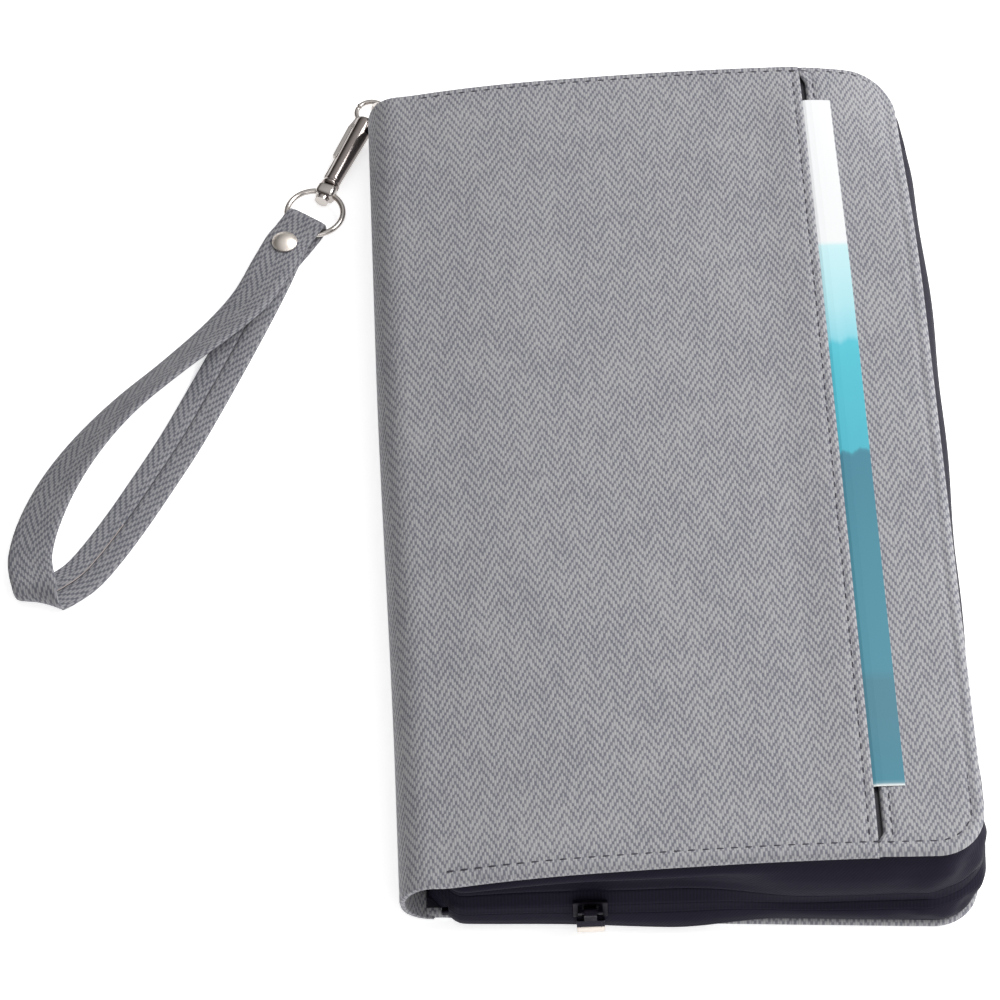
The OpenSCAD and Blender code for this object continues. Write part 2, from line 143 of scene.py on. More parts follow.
def crown(x, y):
    """Rise of the front cover over its flat CAD slab, with its top outer corner drooping."""
    s = np.clip((x - SPINE_X) / BACK_W, 0, 1)
    before = np.clip(CROWN_PEAK - s, 0, None) / CROWN_PEAK
    after = np.clip(s - CROWN_PEAK, 0, None) / (1 - CROWN_PEAK)
    rise = CROWN_AT_SPINE + (CROWN - CROWN_AT_SPINE) * (1 - before**2.2)
    rise = np.where(s < CROWN_PEAK, rise, CROWN - (CROWN - CROWN_AT_ZIP) * after**2.3)
    outer = np.clip((x - 42) / 20, 0, 1.3)
    return rise - CORNER_DROOP * outer**2.2 * smooth(y, 60, 124)


def pull_in(x, y):
    """How far the front's top outer corner has moved towards the spine."""
    return CORNER_PULL * smooth(x, 30, HALF_W) * smooth(y, 40, HALF_H)


def lean(x, y):
    """How far the spine's lower end has been pushed towards the zip side."""
    return SPINE_LEAN * (1 - smooth(x, SPINE_X, SPINE_X + 40)) * smooth(-y, -40, 90)


def settle(x, y):
    """How far the back cover has slipped up or down at its bottom edge."""
    along = np.clip((x + 58) / 116, 0, 1.1)
    return (2.1 - 7.2 * along**0.85) * smooth(-y, 40, HALF_H)


def on_front(u, v, w):
    """Points on the front cover: u from the spine, v up the cover, w outward."""
    u, v, w = np.moveaxis(stacked(u, v, w).astype(float), -1, 0)
    x = SPINE_X + u * math.cos(TILT) - w * math.sin(TILT)
    z = SPINE_T + u * math.sin(TILT) + w * math.cos(TILT) + crown(x, v)
    return stacked(x - pull_in(x, v), v, z)


# ---- Mesh building ----


def link(name, data):
    made = bpy.data.objects.new(name, data)
    bpy.context.scene.collection.objects.link(made)
    return made


def mesh_object(name, points, faces, material, cloth=None, flat=False):
    """A mesh from points in millimetres. cloth gives each point its place in the weave."""
    mesh = bpy.data.meshes.new(name)
    mesh.from_pydata((np.asarray(points, float) * MM).tolist(), [], faces)
    if cloth is not None:
        layer = mesh.uv_layers.new(name="cloth")
        loops = np.empty(len(mesh.loops), int)
        mesh.loops.foreach_get("vertex_index", loops)
        layer.data.foreach_set("uv", np.asarray(cloth, float)[loops].ravel())
    mesh.polygons.foreach_set("use_smooth", [not flat] * len(mesh.polygons))
    mesh.update()
    mesh.materials.append(material)
    return link(name, mesh)


def unit(vectors):
    """Vectors brought to length 1."""
    vectors = np.asarray(vectors, float)
    return vectors / np.linalg.norm(vectors, axis=-1)[..., None]


def travel_along(points):
    """Distance of each point from the first, along a line of points."""
    return np.r_[0, np.cumsum(np.linalg.norm(np.diff(points, axis=0), axis=1))]


def stacked(*parts):
    """Arrays stretched to one shape and stacked as coordinates."""
    return np.stack(np.broadcast_arrays(*parts), -1)


def angles_round(count):
    return np.linspace(0, 2 * math.pi, count, endpoint=False)


def end_faces(rows, columns):
    """The two faces that close a tube of rows of points."""
    first = list(range(columns))
    last = [(rows - 1) * columns + k for k in first]
    return [first[::-1], last]


def grid_faces(rows, columns, start=0, round_columns=False):
    faces = []
    for i in range(rows - 1):
        for j in range(columns if round_columns else columns - 1):
            a = start + i * columns + j
            b = start + i * columns + (j + 1) % columns
            faces.append([a, b, b + columns, a + columns])
    return faces


def grid_object(name, points, material, cloth):
    """A sheet from an array of rows and columns of points."""
    faces = grid_faces(*points.shape[:2])
    return mesh_object(name, points.reshape(-1, 3), faces, material, cloth.reshape(-1, 2))


def identify(piece, slot, body, *nodes):
    """Hangs a piece from the empty of the body that carries it and hides the nodes it
    stands in for. The slot is not used."""
    if nodes:
        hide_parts(*nodes)
    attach(piece, body)


def add_bevel(thing, round_r, segments):
    bevel = thing.modifiers.new("round", "BEVEL")
    bevel.width = round_r * MM
    bevel.segments = segments
    return bevel


def use_modifiers(thing):
    """Applies the modifiers to the mesh."""
    graph = bpy.context.evaluated_depsgraph_get()
    thing.data = bpy.data.meshes.new_from_object(thing.evaluated_get(graph))
    thing.modifiers.clear()
    return thing


def thicken(thing, thickness, side, round_r=0.0):
    """Gives a sheet its thickness, on one side (-1), or on both (0), and rounds its edges."""
    solidify = thing.modifiers.new("thickness", "SOLIDIFY")
    solidify.thickness = thickness * MM
    solidify.offset = side
    if round_r:
        bevel = add_bevel(thing, round_r, 2)
        bevel.limit_method = "ANGLE"
        bevel.angle_limit = math.radians(50)
    return use_modifiers(thing)


def tube(name, path, radius, material, sides=14, closed=False):
    """A round wire along a path."""
    path = np.asarray(path, float)
    count = len(path)
    ahead = np.roll(path, -1, 0) if closed else np.vstack([path[1:], path[-1:]])
    behind = np.roll(path, 1, 0) if closed else np.vstack([path[:1], path[:-1]])
    along = unit(ahead - behind)
    side = unit(np.cross(along, UP))
    other = np.cross(side, along)
    angles = angles_round(sides)
    radii = np.broadcast_to(radius, (count,))[:, None, None]
    around = np.cos(angles)[:, None] * side[:, None] + np.sin(angles)[:, None] * other[:, None]
    points = path[:, None] + radii * around
    if closed:
        points = np.concatenate([points, points[:1]])
    faces = grid_faces(len(points), sides, round_columns=True)
    if not closed:
        faces += end_faces(count, sides)
    return mesh_object(name, points.reshape(-1, 3), faces, material)


def resample(points, step):
    """Points spaced evenly along a line of points."""
    points = np.asarray(points, float)
    lengths = travel_along(points[:, :3])
    count = max(2, int(round(lengths[-1] / step)) + 1)
    at = np.linspace(0, lengths[-1], count)
    return np.stack([np.interp(at, lengths, points[:, k]) for k in range(points.shape[1])], -1)


def stitches(name, path, normal, material, pitch=STITCH_PITCH, length=STITCH_LENGTH, r=STITCH_R):
    """A sewn line: short rounded threads, sunk by half into the cloth."""
    line = resample(path, LINE_STEP)
    lengths = travel_along(line)
    # Each ring is its place along the thread and its share of the full radius
    rings = [(-0.5, 0.25), (-0.4, 0.8), (-0.15, 1.0), (0.15, 1.0), (0.4, 0.8), (0.5, 0.25)]
    sides = 6
    angles = angles_round(sides)
    share, size = np.array(rings).T[..., None]
    rise = r * size * np.sin(angles) - 0.9 * r * (1 - size)
    thread_points = stacked(share * length, r * size * np.cos(angles), rise).reshape(-1, 3)
    points, faces = [], []
    for middle in np.arange(pitch / 2, lengths[-1] - length / 2, pitch):
        centre, ahead = (
            np.array([np.interp(at, lengths, line[:, k]) for k in range(3)])
            for at in (middle, middle + 0.5)
        )
        along = unit(ahead - centre)
        side = unit(np.cross(normal, along))
        axes = np.array([along, side, np.cross(along, side)])
        faces += grid_faces(len(rings), sides, len(points) * len(thread_points), True)
        points.append(centre + thread_points @ axes)
    return mesh_object(name, np.concatenate(points), faces, material)


# ---- Materials ----


class Wiring:
    """The node tree of a material or the world, with short helpers for its nodes."""

    def __init__(self, owner):
        owner.use_nodes = True
        self.tree = owner.node_tree

    def node(self, kind, **inputs):
        made = self.tree.nodes.new(kind)
        for key, value in inputs.items():
            self.put(made, key.replace("_", " "), value)
        return made

    def put(self, node, key, value):
        if isinstance(value, bpy.types.NodeSocket):
            self.tree.links.new(value, node.inputs[key])
        else:
            node.inputs[key].default_value = value

    def math(self, operation, a, b=0.0, c=0.0):
        made = self.node("ShaderNodeMath")
        made.operation = operation
        for index, value in enumerate((a, b, c)):
            self.put(made, index, value)
        return made.outputs[0]

    def stops(self, share, stops):
        """A ramp of colours from their places along it."""
        made = self.node("ShaderNodeValToRGB", Fac=share)
        elements = made.color_ramp.elements
        while len(elements) < len(stops):
            elements.new(0.5)
        for element, (place, shade) in zip(elements, stops):
            element.position = place
            element.color = colour(*shade)
        return made.outputs[0]


class Shader(Wiring):
    """A material being wired up."""

    def __init__(self, name):
        self.material = bpy.data.materials.new(name)
        super().__init__(self.material)
        self.surface = self.tree.nodes["Principled BSDF"]

    def cloth(self):
        """Across and along the weave, in millimetres."""
        uv = self.node("ShaderNodeUVMap")
        uv.uv_map = "cloth"
        split = self.node("ShaderNodeSeparateXYZ", Vector=uv.outputs[0])
        return split.outputs[0], split.outputs[1]

    def noise(self, scale, detail, vector=None):
        """Noise over a vector, or over the point on the piece in metres."""
        if vector is None:
            vector = self.node("ShaderNodeTexCoord").outputs["Object"]
        made = self.node("ShaderNodeTexNoise", Scale=scale, Detail=detail, Vector=vector)
        return made.outputs["Fac"]

    def vector(self, x, y):
        return self.node("ShaderNodeCombineXYZ", X=x, Y=y).outputs[0]

    def mix(self, share, a, b):
        made = self.node("ShaderNodeMix")
        made.data_type = "RGBA"
        for index, value in ((0, share), (6, a), (7, b)):
            self.put(made, index, value)
        return made.outputs[2]

    def tinted(self, share, base, lift, roughness):
        """From a base colour to a lighter one, by share."""
        bright = colour(*(channel * lift for channel in base))
        self.set(Base_Color=self.mix(share, colour(*base), bright), Roughness=roughness)

    def ramp(self, value, start, end):
        """A smooth rise from 0 at start to 1 at end."""
        made = self.node("ShaderNodeMapRange", Value=value, From_Min=start, From_Max=end)
        made.interpolation_type = "SMOOTHSTEP"
        return made.outputs[0]

    def there_and_back(self, value):
        """From 0 to 1 and back within each whole step of a value."""
        step = self.math("MULTIPLY", self.math("FRACT", value), 2.0)
        return self.math("PINGPONG", step, 1.0)

    def bump(self, height, strength, distance):
        made = self.node("ShaderNodeBump", Strength=strength, Distance=distance * MM, Height=height)
        self.set(Normal=made.outputs[0])

    def set(self, **inputs):
        for key, value in inputs.items():
            self.put(self.surface, key.replace("_", " "), value)


def colour(r, g, b):
    return (r, g, b, 1.0)


def herringbone(name, light, dark):
    """Woven zigzag twill. Each warp yarn is a row of floats, a third of a repeat up or down
    from the next yarn's, and the rise turns at every column of six yarns."""
    shader = Shader(name)
    across, along = shader.cloth()
    place = shader.math("DIVIDE", across, YARN_PITCH)
    yarn = shader.math("FLOOR", place)
    wander = shader.noise(0.3, 2.0, shader.vector(across, along))
    climb = shader.math("DIVIDE", shader.math("PINGPONG", yarn, COLUMN_YARNS), 3.0)
    row = shader.math("MULTIPLY_ADD", along, 1 / FLOAT_REPEAT, climb)
    row = shader.math("MULTIPLY_ADD", wander, 0.5, row)
    shown = shader.ramp(shader.there_and_back(row), 0.2, 0.52)
    # Painted shade: each yarn's colour darkens from its middle towards its edges, as a lit round
    # yarn would look
    painted_yarn_shade = shader.ramp(shader.there_and_back(place), 0.0, 0.7)
    share = shader.math("MULTIPLY", shown, shader.math("MULTIPLY_ADD", painted_yarn_shade, 0.5, 0.5))
    float_place = shader.vector(yarn, shader.math("FLOOR", row))
    which = shader.node("ShaderNodeTexWhiteNoise", Vector=float_place)
    which.noise_dimensions = "2D"
    patches = shader.noise(0.06, 3.0, shader.vector(across, along))
    tone = shader.math("MULTIPLY_ADD", which.outputs["Value"], 0.36, -0.18)
    tone = shader.math("ADD", tone, shader.math("MULTIPLY_ADD", patches, 0.5, -0.25))
    shade = shader.math("MAXIMUM", shader.math("ADD", share, tone), 0.0)
    shader.set(Base_Color=shader.mix(shade, colour(*dark), colour(*light)), Roughness=0.75)
    shader.set(Sheen_Weight=0.06, Sheen_Roughness=0.5, Specular_IOR_Level=0.25)
    shader.bump(share, 0.45, 0.14)
    return shader.material


def twill(name, base, lift=1.6, pitch=0.9):
    """Fine diagonal twill, for the gusset and the dark pockets."""
    shader = Shader(name)
    across, along = shader.cloth()
    diagonal = shader.math("DIVIDE", shader.math("ADD", across, along), pitch)
    ridge = shader.math("PINGPONG", shader.math("MULTIPLY", diagonal, 2.0), 1.0)
    grain = shader.noise(3.0, 3.0, shader.vector(across, along))
    share = shader.math("MULTIPLY_ADD", grain, 0.5, shader.math("MULTIPLY", ridge, 0.5))
    shader.tinted(share, base, lift, 0.62)
    shader.set(Specular_IOR_Level=0.12)
    shader.bump(ridge, 0.5, 0.08)
    return shader.material


def ribbed(name, base, pitch):
    """Woven tape with ribs across it."""
    shader = Shader(name)
    across = shader.cloth()[0]
    rib = shader.math("PINGPONG", shader.math("DIVIDE", across, pitch / 2), 1.0)
    shader.tinted(rib, base, 1.5, 0.7)
    shader.set(Specular_IOR_Level=0.1)
    shader.bump(rib, 0.5, 0.08)
    return shader.material


def plain_cloth(name, base):
    """Smooth lining with a fine grid weave."""
    shader = Shader(name)
    across, along = shader.cloth()
    turns = 2 * math.pi / LINING_PITCH
    one = shader.math("SINE", shader.math("MULTIPLY", across, turns))
    two = shader.math("SINE", shader.math("MULTIPLY", along, turns))
    weave = shader.math("MULTIPLY", one, two)
    grain = shader.noise(0.5, 3.0, shader.vector(across, along))
    shader.tinted(grain, base, 1.6, 0.5)
    shader.set(Specular_IOR_Level=0.45)
    shader.bump(weave, 0.35, 0.06)
    return shader.material


def metal(name, base, roughness):
    """Plated metal with fine unevenness and softened edges."""
    shader = Shader(name)
    worn = shader.noise(900.0, 2.0)
    rough = shader.math("MULTIPLY_ADD", worn, roughness, roughness * 0.5)
    shader.set(Base_Color=colour(*base), Metallic=1.0, Roughness=rough)
    edges = shader.node("ShaderNodeBevel", Radius=METAL_EDGE_R * MM)
    shader.set(Normal=edges.outputs[0])
    return shader.material


def thread(name, base):
    shader = Shader(name)
    twist = shader.noise(4000.0, 1.0)
    shader.tinted(twist, base, 1.5, 0.8)
    return shader.material


def inside_band(shader, value, start, end):
    """1 where value lies between start and end, and 0 outside."""
    above = shader.math("GREATER_THAN", value, start)
    below = shader.math("LESS_THAN", value, end)
    return shader.math("MULTIPLY", above, below)


def printed_paper(name):
    """Coated paper with plain bands from white to deep teal, down its length."""
    shader = Shader(name)
    across, along = shader.cloth()
    # The bands' edges wander like hills
    hills = shader.noise(0.11, 3.0, shader.vector(across, 0.0))
    wave = shader.math("MULTIPLY_ADD", hills, 16.0, -8.0)
    stops = [
        (0.0, (0.80, 0.82, 0.80)),
        (0.003, (0.80, 0.82, 0.80)),
        (0.004, (0.058, 0.21, 0.28)),
        (0.10, (0.069, 0.20, 0.26)),
        (0.14, (0.069, 0.20, 0.26)),
        (0.155, (0.067, 0.23, 0.30)),
        (0.30, (0.060, 0.22, 0.285)),
        (0.46, (0.055, 0.20, 0.27)),
        (0.465, (0.067, 0.39, 0.48)),
        (0.60, (0.076, 0.44, 0.53)),
        (0.622, (0.085, 0.46, 0.55)),
        (0.63, (0.23, 0.56, 0.64)),
        (0.68, (0.37, 0.64, 0.69)),
        (0.769, (0.48, 0.70, 0.73)),
        (0.775, (0.73, 0.74, 0.745)),
    ]
    middle = shader.math("MULTIPLY", inside_band(shader, along, 60, 150), wave)
    share = shader.math("DIVIDE", shader.math("ADD", along, middle), LEAFLET_H)
    shader.set(Base_Color=shader.stops(share, stops), Roughness=0.5, Specular_IOR_Level=0.35)
    return shader.material


leaflet_low, leaflet_high = node_box("leaflet")
LEAFLET_H = leaflet_high[1] - leaflet_low[1]

YARN_PITCH = 0.55
COLUMN_YARNS = 6.0
FLOAT_REPEAT = 2.8
LINING_PITCH = 0.6
METAL_EDGE_R = 0.35
COVER_CLOTH = herringbone("cover_cloth", (0.365, 0.365, 0.375), (0.155, 0.155, 0.185))
STRAP_CLOTH = herringbone("strap_cloth", (0.26, 0.26, 0.272), (0.10, 0.10, 0.122))
GUSSET_CLOTH = twill("gusset_cloth", (0.0085, 0.007, 0.0155))
POCKET_CLOTH = twill("pocket_cloth", (0.016, 0.016, 0.022), 1.5, 1.1)
LINING = plain_cloth("lining", (0.014, 0.014, 0.02))
TAPE = ribbed("zip_tape", (0.008, 0.0068, 0.0145), 0.8)
ELASTIC = ribbed("elastic", (0.012, 0.012, 0.016), 1.0)
NICKEL = metal("nickel", (0.50, 0.465, 0.44), 0.14)
SATIN_NICKEL = metal("satin_nickel", (0.78, 0.72, 0.66), 0.4)
# A darker copy of the nickel for the hook's barrel: painted shade, standing in for the dark
# reflections on it
SHADED_BARREL_NICKEL = metal("shaded_barrel_nickel", (0.30, 0.265, 0.25), 0.12)
DARK_METAL = metal("dark_metal", (0.012, 0.0105, 0.016), 0.45)
STEEL = metal("steel", (0.5, 0.5, 0.52), 0.35)
DARK_THREAD = thread("dark_thread", (0.045, 0.042, 0.055))
BLACK_THREAD = thread("black_thread", (0.012, 0.012, 0.016))
PALE_THREAD = thread("pale_thread", (0.30, 0.265, 0.26))
PAPER = printed_paper("leaflet_print")


# ---- Camera, light and floor ----

CAMERA_TARGET = Vector((-39, 3, 0)) * MM
CAMERA_DISTANCE = 1216 * MM
CAMERA_AZIMUTH = math.radians(-2.33)
CAMERA_ELEVATION = math.radians(54)
FLOOR_HALF = 3000
FLOOR_Z = -0.15


def look(thing, ahead):
    """Turns a camera or light to look ahead."""
    thing.rotation_mode = "QUATERNION"
    thing.rotation_quaternion = ahead.to_track_quat("-Z", "Y")


def make_camera():
    data = bpy.data.cameras.new("camera")
    data.sensor_width = 36
    data.lens = 175.6
    data.clip_start = 0.05
    data.clip_end = 20
    camera = link("camera", data)
    level = math.cos(CAMERA_ELEVATION)
    back = Vector((math.sin(CAMERA_AZIMUTH) * level, -math.cos(CAMERA_AZIMUTH) * level, 0))
    back.z = math.sin(CAMERA_ELEVATION)
    camera.location = CAMERA_TARGET + CAMERA_DISTANCE * back
    look(camera, -back)
    bpy.context.scene.camera = camera


def make_area_light(name, place, size, power):
    """A rectangular light turned to the middle of the wallet."""
    data = bpy.data.lights.new(name, "AREA")
    data.shape = "RECTANGLE"
    data.size, data.size_y = size
    data.energy = power
    light = link(name, data)
    light.location = place
    look(light, -Vector(place))


def make_world():
    """White studio dome that darkens low down on the strap's side."""
    world = bpy.data.worlds.new("studio")
    bpy.context.scene.world = world
    wiring = Wiring(world)
    ahead = wiring.node("ShaderNodeTexCoord").outputs["Generated"]
    split = wiring.node("ShaderNodeSeparateXYZ", Vector=ahead)
    height = wiring.math("MULTIPLY_ADD", split.outputs[0], 0.6, split.outputs[2])
    shade = wiring.stops(height, [(0.1, (0.10, 0.09, 0.085)), (0.9, (1.0, 1.0, 1.0))])
    background = wiring.tree.nodes["Background"]
    wiring.put(background, "Color", shade)
    wiring.put(background, "Strength", 0.8)


def make_floor():
    shader = Shader("studio_floor")
    shader.set(Base_Color=colour(0.92, 0.92, 0.92), Roughness=0.9, Specular_IOR_Level=0.1)
    shader.set(Emission_Color=colour(1, 1, 1), Emission_Strength=0.6)
    signs = ((-1, -1), (1, -1), (1, 1), (-1, 1))
    corners = [[x * FLOOR_HALF, y * FLOOR_HALF, FLOOR_Z] for x, y in signs]
    floor = mesh_object("studio_floor", corners, [[0, 1, 2, 3]], shader.material, flat=True)


def make_studio():
    bpy.context.scene.view_settings.view_transform = "Standard"
    make_world()
    make_area_light("key", (0.9, 0.3, 1.0), (0.8, 0.8), 17)
    make_area_light("fill", (0.3, -1.1, 0.9), (0.9, 0.6), 3)
    make_floor()


# ---- Wrist strap ----

STRAP_W = 11.0
STRAP_T = 1.5
# Width and thickness that the strap's section is drawn at
DRAWN_W, DRAWN_T = 11.0, 1.5
# Part of the strap's length where the seam's pale thread shows
SEAM_FROM, SEAM_TO = 0.56, 0.66
STRAP_ANGLE = math.radians(235)
LOOP_R = 7.3
LOOP_TO_EYE = np.array([math.cos(STRAP_ANGLE), math.sin(STRAP_ANGLE), 0])
EYE = LOOP + LOOP_R * LOOP_TO_EYE
FOLD_BACK = 2.6
FOLD_R = 1.8
BEND_AT = np.array([-64.9, -111.4])
BEND_Z = 4
BEND_R = 2.35
BEND_LINE = math.radians(-16)
BEND_ADVANCE = 3.5


def strap_route():
    """The middle line of the strap, as in part.scad: x and y from the eye, z, the
    direction of its width and the lift of its inner edge, in degrees."""
    start = [(-5.7, -8.2, 1.1, -35, 0), (-3.7, -5.3, 1.1, -35, 0), (-1.5, -2.2, 1.1, -35, 0)]
    fold = []
    for a in np.radians(range(-90, 91, 30)):
        x, y = (-FOLD_BACK - FOLD_R * math.cos(a)) * LOOP_TO_EYE[:2]
        fold.append((x, y, LOOP[2] + FOLD_R * math.sin(a), -35, 0))
    upper = [
        (-1.5, -2.2, 4.45, -35, 0), (-3.7, -5.3, 4.4, -35, 0), (-7, -12, 4.4, -37, 2),
        (-12.5, -23, 5, -41, 12), (-20.5, -33, 5.6, -47, 24), (-32, -45, 6.6, -47, 33),
        (-43, -56, 7, -45, 33), (-51, -65.5, 7, -38, 29), (-57.5, -75, 6.7, -30, 23),
        (-62.5, -84.5, 6.3, -23, 16), (-66, -94, 6, -14, 10), (-67.6, -102, 6, -7, 5),
        (-67.4, -107, 6.2, -8, 2),
    ]
    bend = []
    across = np.array([math.cos(BEND_LINE), math.sin(BEND_LINE)])
    ahead = np.array([math.sin(BEND_LINE), -math.cos(BEND_LINE)])
    for a in range(90, -91, -30):
        turn = math.radians(a)
        x, y = BEND_AT - a / 180 * BEND_ADVANCE * across + BEND_R * math.cos(turn) * ahead
        bend.append((x, y, BEND_Z + BEND_R * math.sin(turn), -16, 0))
    lower = [
        (-59.4, -109.1, 1.3, -40, 0), (-54.9, -105.2, 1.1, -32, 0), (-50, -98.6, 1.1, -29, 0),
        (-44, -89, 1.1, -29, 0), (-37.5, -77.5, 1.1, -28, 0), (-31, -65.5, 1.1, -28, 0),
        (-24.7, -52.5, 1.2, -28, 0), (-18.8, -40, 1.5, -28, 0), (-13, -27.5, 2, -29, 0),
        (-8, -16, 2.4, -31, 0), (-3.7, -5.3, 2.75, -35, 0), (-1.5, -2.2, 2.75, -35, 0),
    ]
    route = np.array(start + fold + upper + bend + lower, float)
    route[:, :2] += EYE[:2]
    return route


def smooth_line(points, step):
    """A Catmull-Rom curve through the points, resampled evenly."""
    padded = np.vstack([2 * points[0] - points[1], points, 2 * points[-1] - points[-2]])
    fine = []
    for i in range(1, len(padded) - 2):
        p0, p1, p2, p3 = padded[i - 1 : i + 3]
        square, cube = 2 * p0 - 5 * p1 + 4 * p2 - p3, 3 * p1 - p0 - 3 * p2 + p3
        for t in np.linspace(0, 1, 12, endpoint=False):
            fine.append(0.5 * (2 * p1 + (p2 - p0) * t + square * t**2 + cube * t**3))
    fine.append(padded[-2])
    return resample(np.array(fine), step)


def make_strap():
    """The folded strap, with its two edges meeting in a seam on its inner face."""
    line = smooth_line(strap_route(), 0.9)
    middle = line[:, :3]
    along = unit(np.gradient(middle, axis=0))
    plan, rise = np.radians(line[:, 3]), np.radians(line[:, 4])
    inner_edge = stacked(np.cos(plan) * np.cos(rise), np.sin(plan) * np.cos(rise), np.sin(rise))
    out = unit(np.cross(along, inner_edge))
    width = np.cross(out, along)
    # Half of the section, from the middle of the outer face round to the seam
    half = [(0.0, 0.75), (1.4, 0.76), (2.8, 0.75), (4.2, 0.7), (5.0, 0.58), (5.4, 0.32)]
    half += [(5.5, 0.0), (5.4, -0.32), (5.0, -0.58), (4.2, -0.7), (2.8, -0.76), (1.2, -0.75)]
    half += [(0.35, -0.66), (0.06, -0.42)]
    half = np.array(half) * [STRAP_W / DRAWN_W, STRAP_T / DRAWN_T]
    section = np.vstack([half[::-1] * [-1, 1], half[1:]])
    travel = travel_along(section)
    travel -= travel[-1] / 2
    lengths = travel_along(middle)
    points = middle[:, None] + section[:, :1] * width[:, None] + section[:, 1:] * out[:, None]
    cloth = stacked(travel, lengths[:, None])
    faces = grid_faces(*points.shape[:2])
    faces += [face[::-1] for face in end_faces(*points.shape[:2])]
    strap = mesh_object(
        "wrist_strap_cloth", points.reshape(-1, 3), faces, STRAP_CLOTH, cloth.reshape(-1, 2)
    )
    identify(strap, "herringbone", "strap", "wrist_strap")
    # A pale thread shows along the seam on part of the lower ply
    shown = (lengths > SEAM_FROM * lengths[-1]) & (lengths < SEAM_TO * lengths[-1])
    seam = middle[shown] - 0.8 * out[shown]
    pale = tube("strap_seam_thread", seam, 0.14, PALE_THREAD, sides=6)
    identify(pale, "herringbone", "strap")


# ---- Covers ----


def hem_profile(t, r1, height, r2, under):
    """Outward travel and drop of a rolled edge, at a distance t along it."""
    a = math.pi / 2 * r1
    b = a + height
    c = b + math.pi / 2 * r2
    first = np.clip(t, 0, a) / r1
    second = np.clip(t - b, 0, c - b) / r2
    out = r1 * np.sin(first) - r2 * (1 - np.cos(second)) - np.clip(t - c, 0, under)
    drop = r1 * (1 - np.cos(first)) + np.clip(t - a, 0, height) + r2 * np.sin(second)
    return out, drop


def hem_length(r1, height, r2, under):
    return math.pi / 2 * (r1 + r2) + height + under


def stitch_inset(up):
    """Distance of the edge stitches from the edge. Along the top they run closer to it."""
    return STITCH_INSET - 1.3 * smooth(up, 100, 116)


def mouth_lift(u, v):
    """How far the leaflet lifts the slip pocket's open edge."""
    return MOUTH_LIFT * smooth(u, SLIT_U - 14, SLIT_U) * (1 - smooth(np.abs(v), 106, 117))


def groove(distance):
    """How far a line of stitches pulls the cloth in, at a distance from it."""
    return 0.3 * np.exp(-((distance / 0.7) ** 2))


# Shares of the way from the middle to a hem, closer together where the stitches run
EDGE_STEPS = np.r_[np.linspace(0, 0.95, 40)[:-1], np.linspace(0.95, 1, 13)]
SLIT_STITCH = 2.0
STRIP_STITCH = 2.2


def round_corners(across, up, far, shape):
    """Leads a grid's lines round the two corners at its far side. shape turns a distance
    past a corner's middle into a radius. Returns across, up and that distance."""
    turn = far - CORNER_R
    a = np.clip(across - turn, 0, None)
    b = np.clip(np.abs(up) - CORNER_Y, 0, None)
    norm = np.hypot(a, b)
    norm = np.where(norm < 1e-9, 1, norm)
    reach = np.maximum(a, b)
    radius = shape(reach)
    across = np.minimum(across, turn) + radius * a / norm
    up = np.sign(up) * (np.minimum(np.abs(up), CORNER_Y) + radius * b / norm)
    return across, up, reach


def cover_grid(start, far, hem):
    """Places on a cover with two rounded corners at its far side and rolled hems.

    start and far are where it begins and ends across. Returns across, up and drop for a
    grid of points, and their inset from the outline.
    """
    flat_r = CORNER_R - hem[0]
    total = flat_r + hem_length(*hem)
    ring = np.r_[np.arange(0, flat_r, 0.5), np.linspace(flat_r, total, 12)]
    turn = far - CORNER_R
    p = np.r_[np.linspace(start, turn, 30)[:-1], turn + ring]
    q = np.r_[np.linspace(0, CORNER_Y, 30)[:-1], CORNER_Y + ring]
    q = np.r_[-q[::-1], q[1:]][:, None]

    def shape(reach):
        return np.where(reach <= flat_r, reach, flat_r + hem_profile(reach - flat_r, *hem)[0])

    across, up, reach = round_corners(p, q, far, shape)
    drop = np.where(reach <= flat_r, 0, hem_profile(reach - flat_r, *hem)[1])
    return across, up, drop, CORNER_R - reach


# Each hem is its outer radius, the straight part, its inner radius and what lies under,
# which the spine's hem shares with the panel's
SPINE_HEM = (0.7, 0.1, 0.6)
PANEL_HEM = (1.5, 0.6, 1.2, 4)
STRIP_HEM = (1.4, 0.5, 1.1, 4)
BACK_HEM = (1.1, 0.2, 1.0, 4)


def make_back_cover():
    across, up, drop, inset = cover_grid(SPINE_X, HALF_W, BACK_HEM)
    rise = drop + 0.6 * groove(inset - STITCH_INSET)
    points = stacked(across, up + settle(across, up), rise)
    cloth = stacked(-across, up)
    cover = grid_object("back_cover_cloth", points[:, ::-1], COVER_CLOTH, cloth[:, ::-1])
    identify(cover, "herringbone", "back", "back_cover", "back_board")


def spine_profile():
    """The outer skin in section, from under the spine round it and over to the slit."""
    angles = np.radians(np.linspace(270, 90, 25))
    x = SPINE_X + SPINE_R * np.cos(angles)
    z = SPINE_R + SPINE_R * np.sin(angles)
    z = z * (SPINE_T + CROWN_AT_SPINE) / SPINE_T
    u = np.linspace(1.5, SLIT_U, 90)
    line = np.r_[stacked(x, 0.0, z), on_front(u, 0, 0)]
    line = resample(line, SECTION_STEP)[:, [0, 2]]
    # A weighted mean along the line rounds its bends
    reach = 8
    kernel = np.exp(-0.5 * (np.arange(-reach, reach + 1) / 3.2) ** 2)
    kernel /= kernel.sum()
    padded = np.pad(line, ((reach, reach), (0, 0)), "reflect", reflect_type="odd")
    return np.stack([np.convolve(padded[:, k], kernel, "valid") for k in range(2)], -1)


def line_normal(line):
    """Directions square to a line in the XZ plane."""
    along = unit(np.gradient(line, axis=0))
    return stacked(-along[:, 1], along[:, 0])


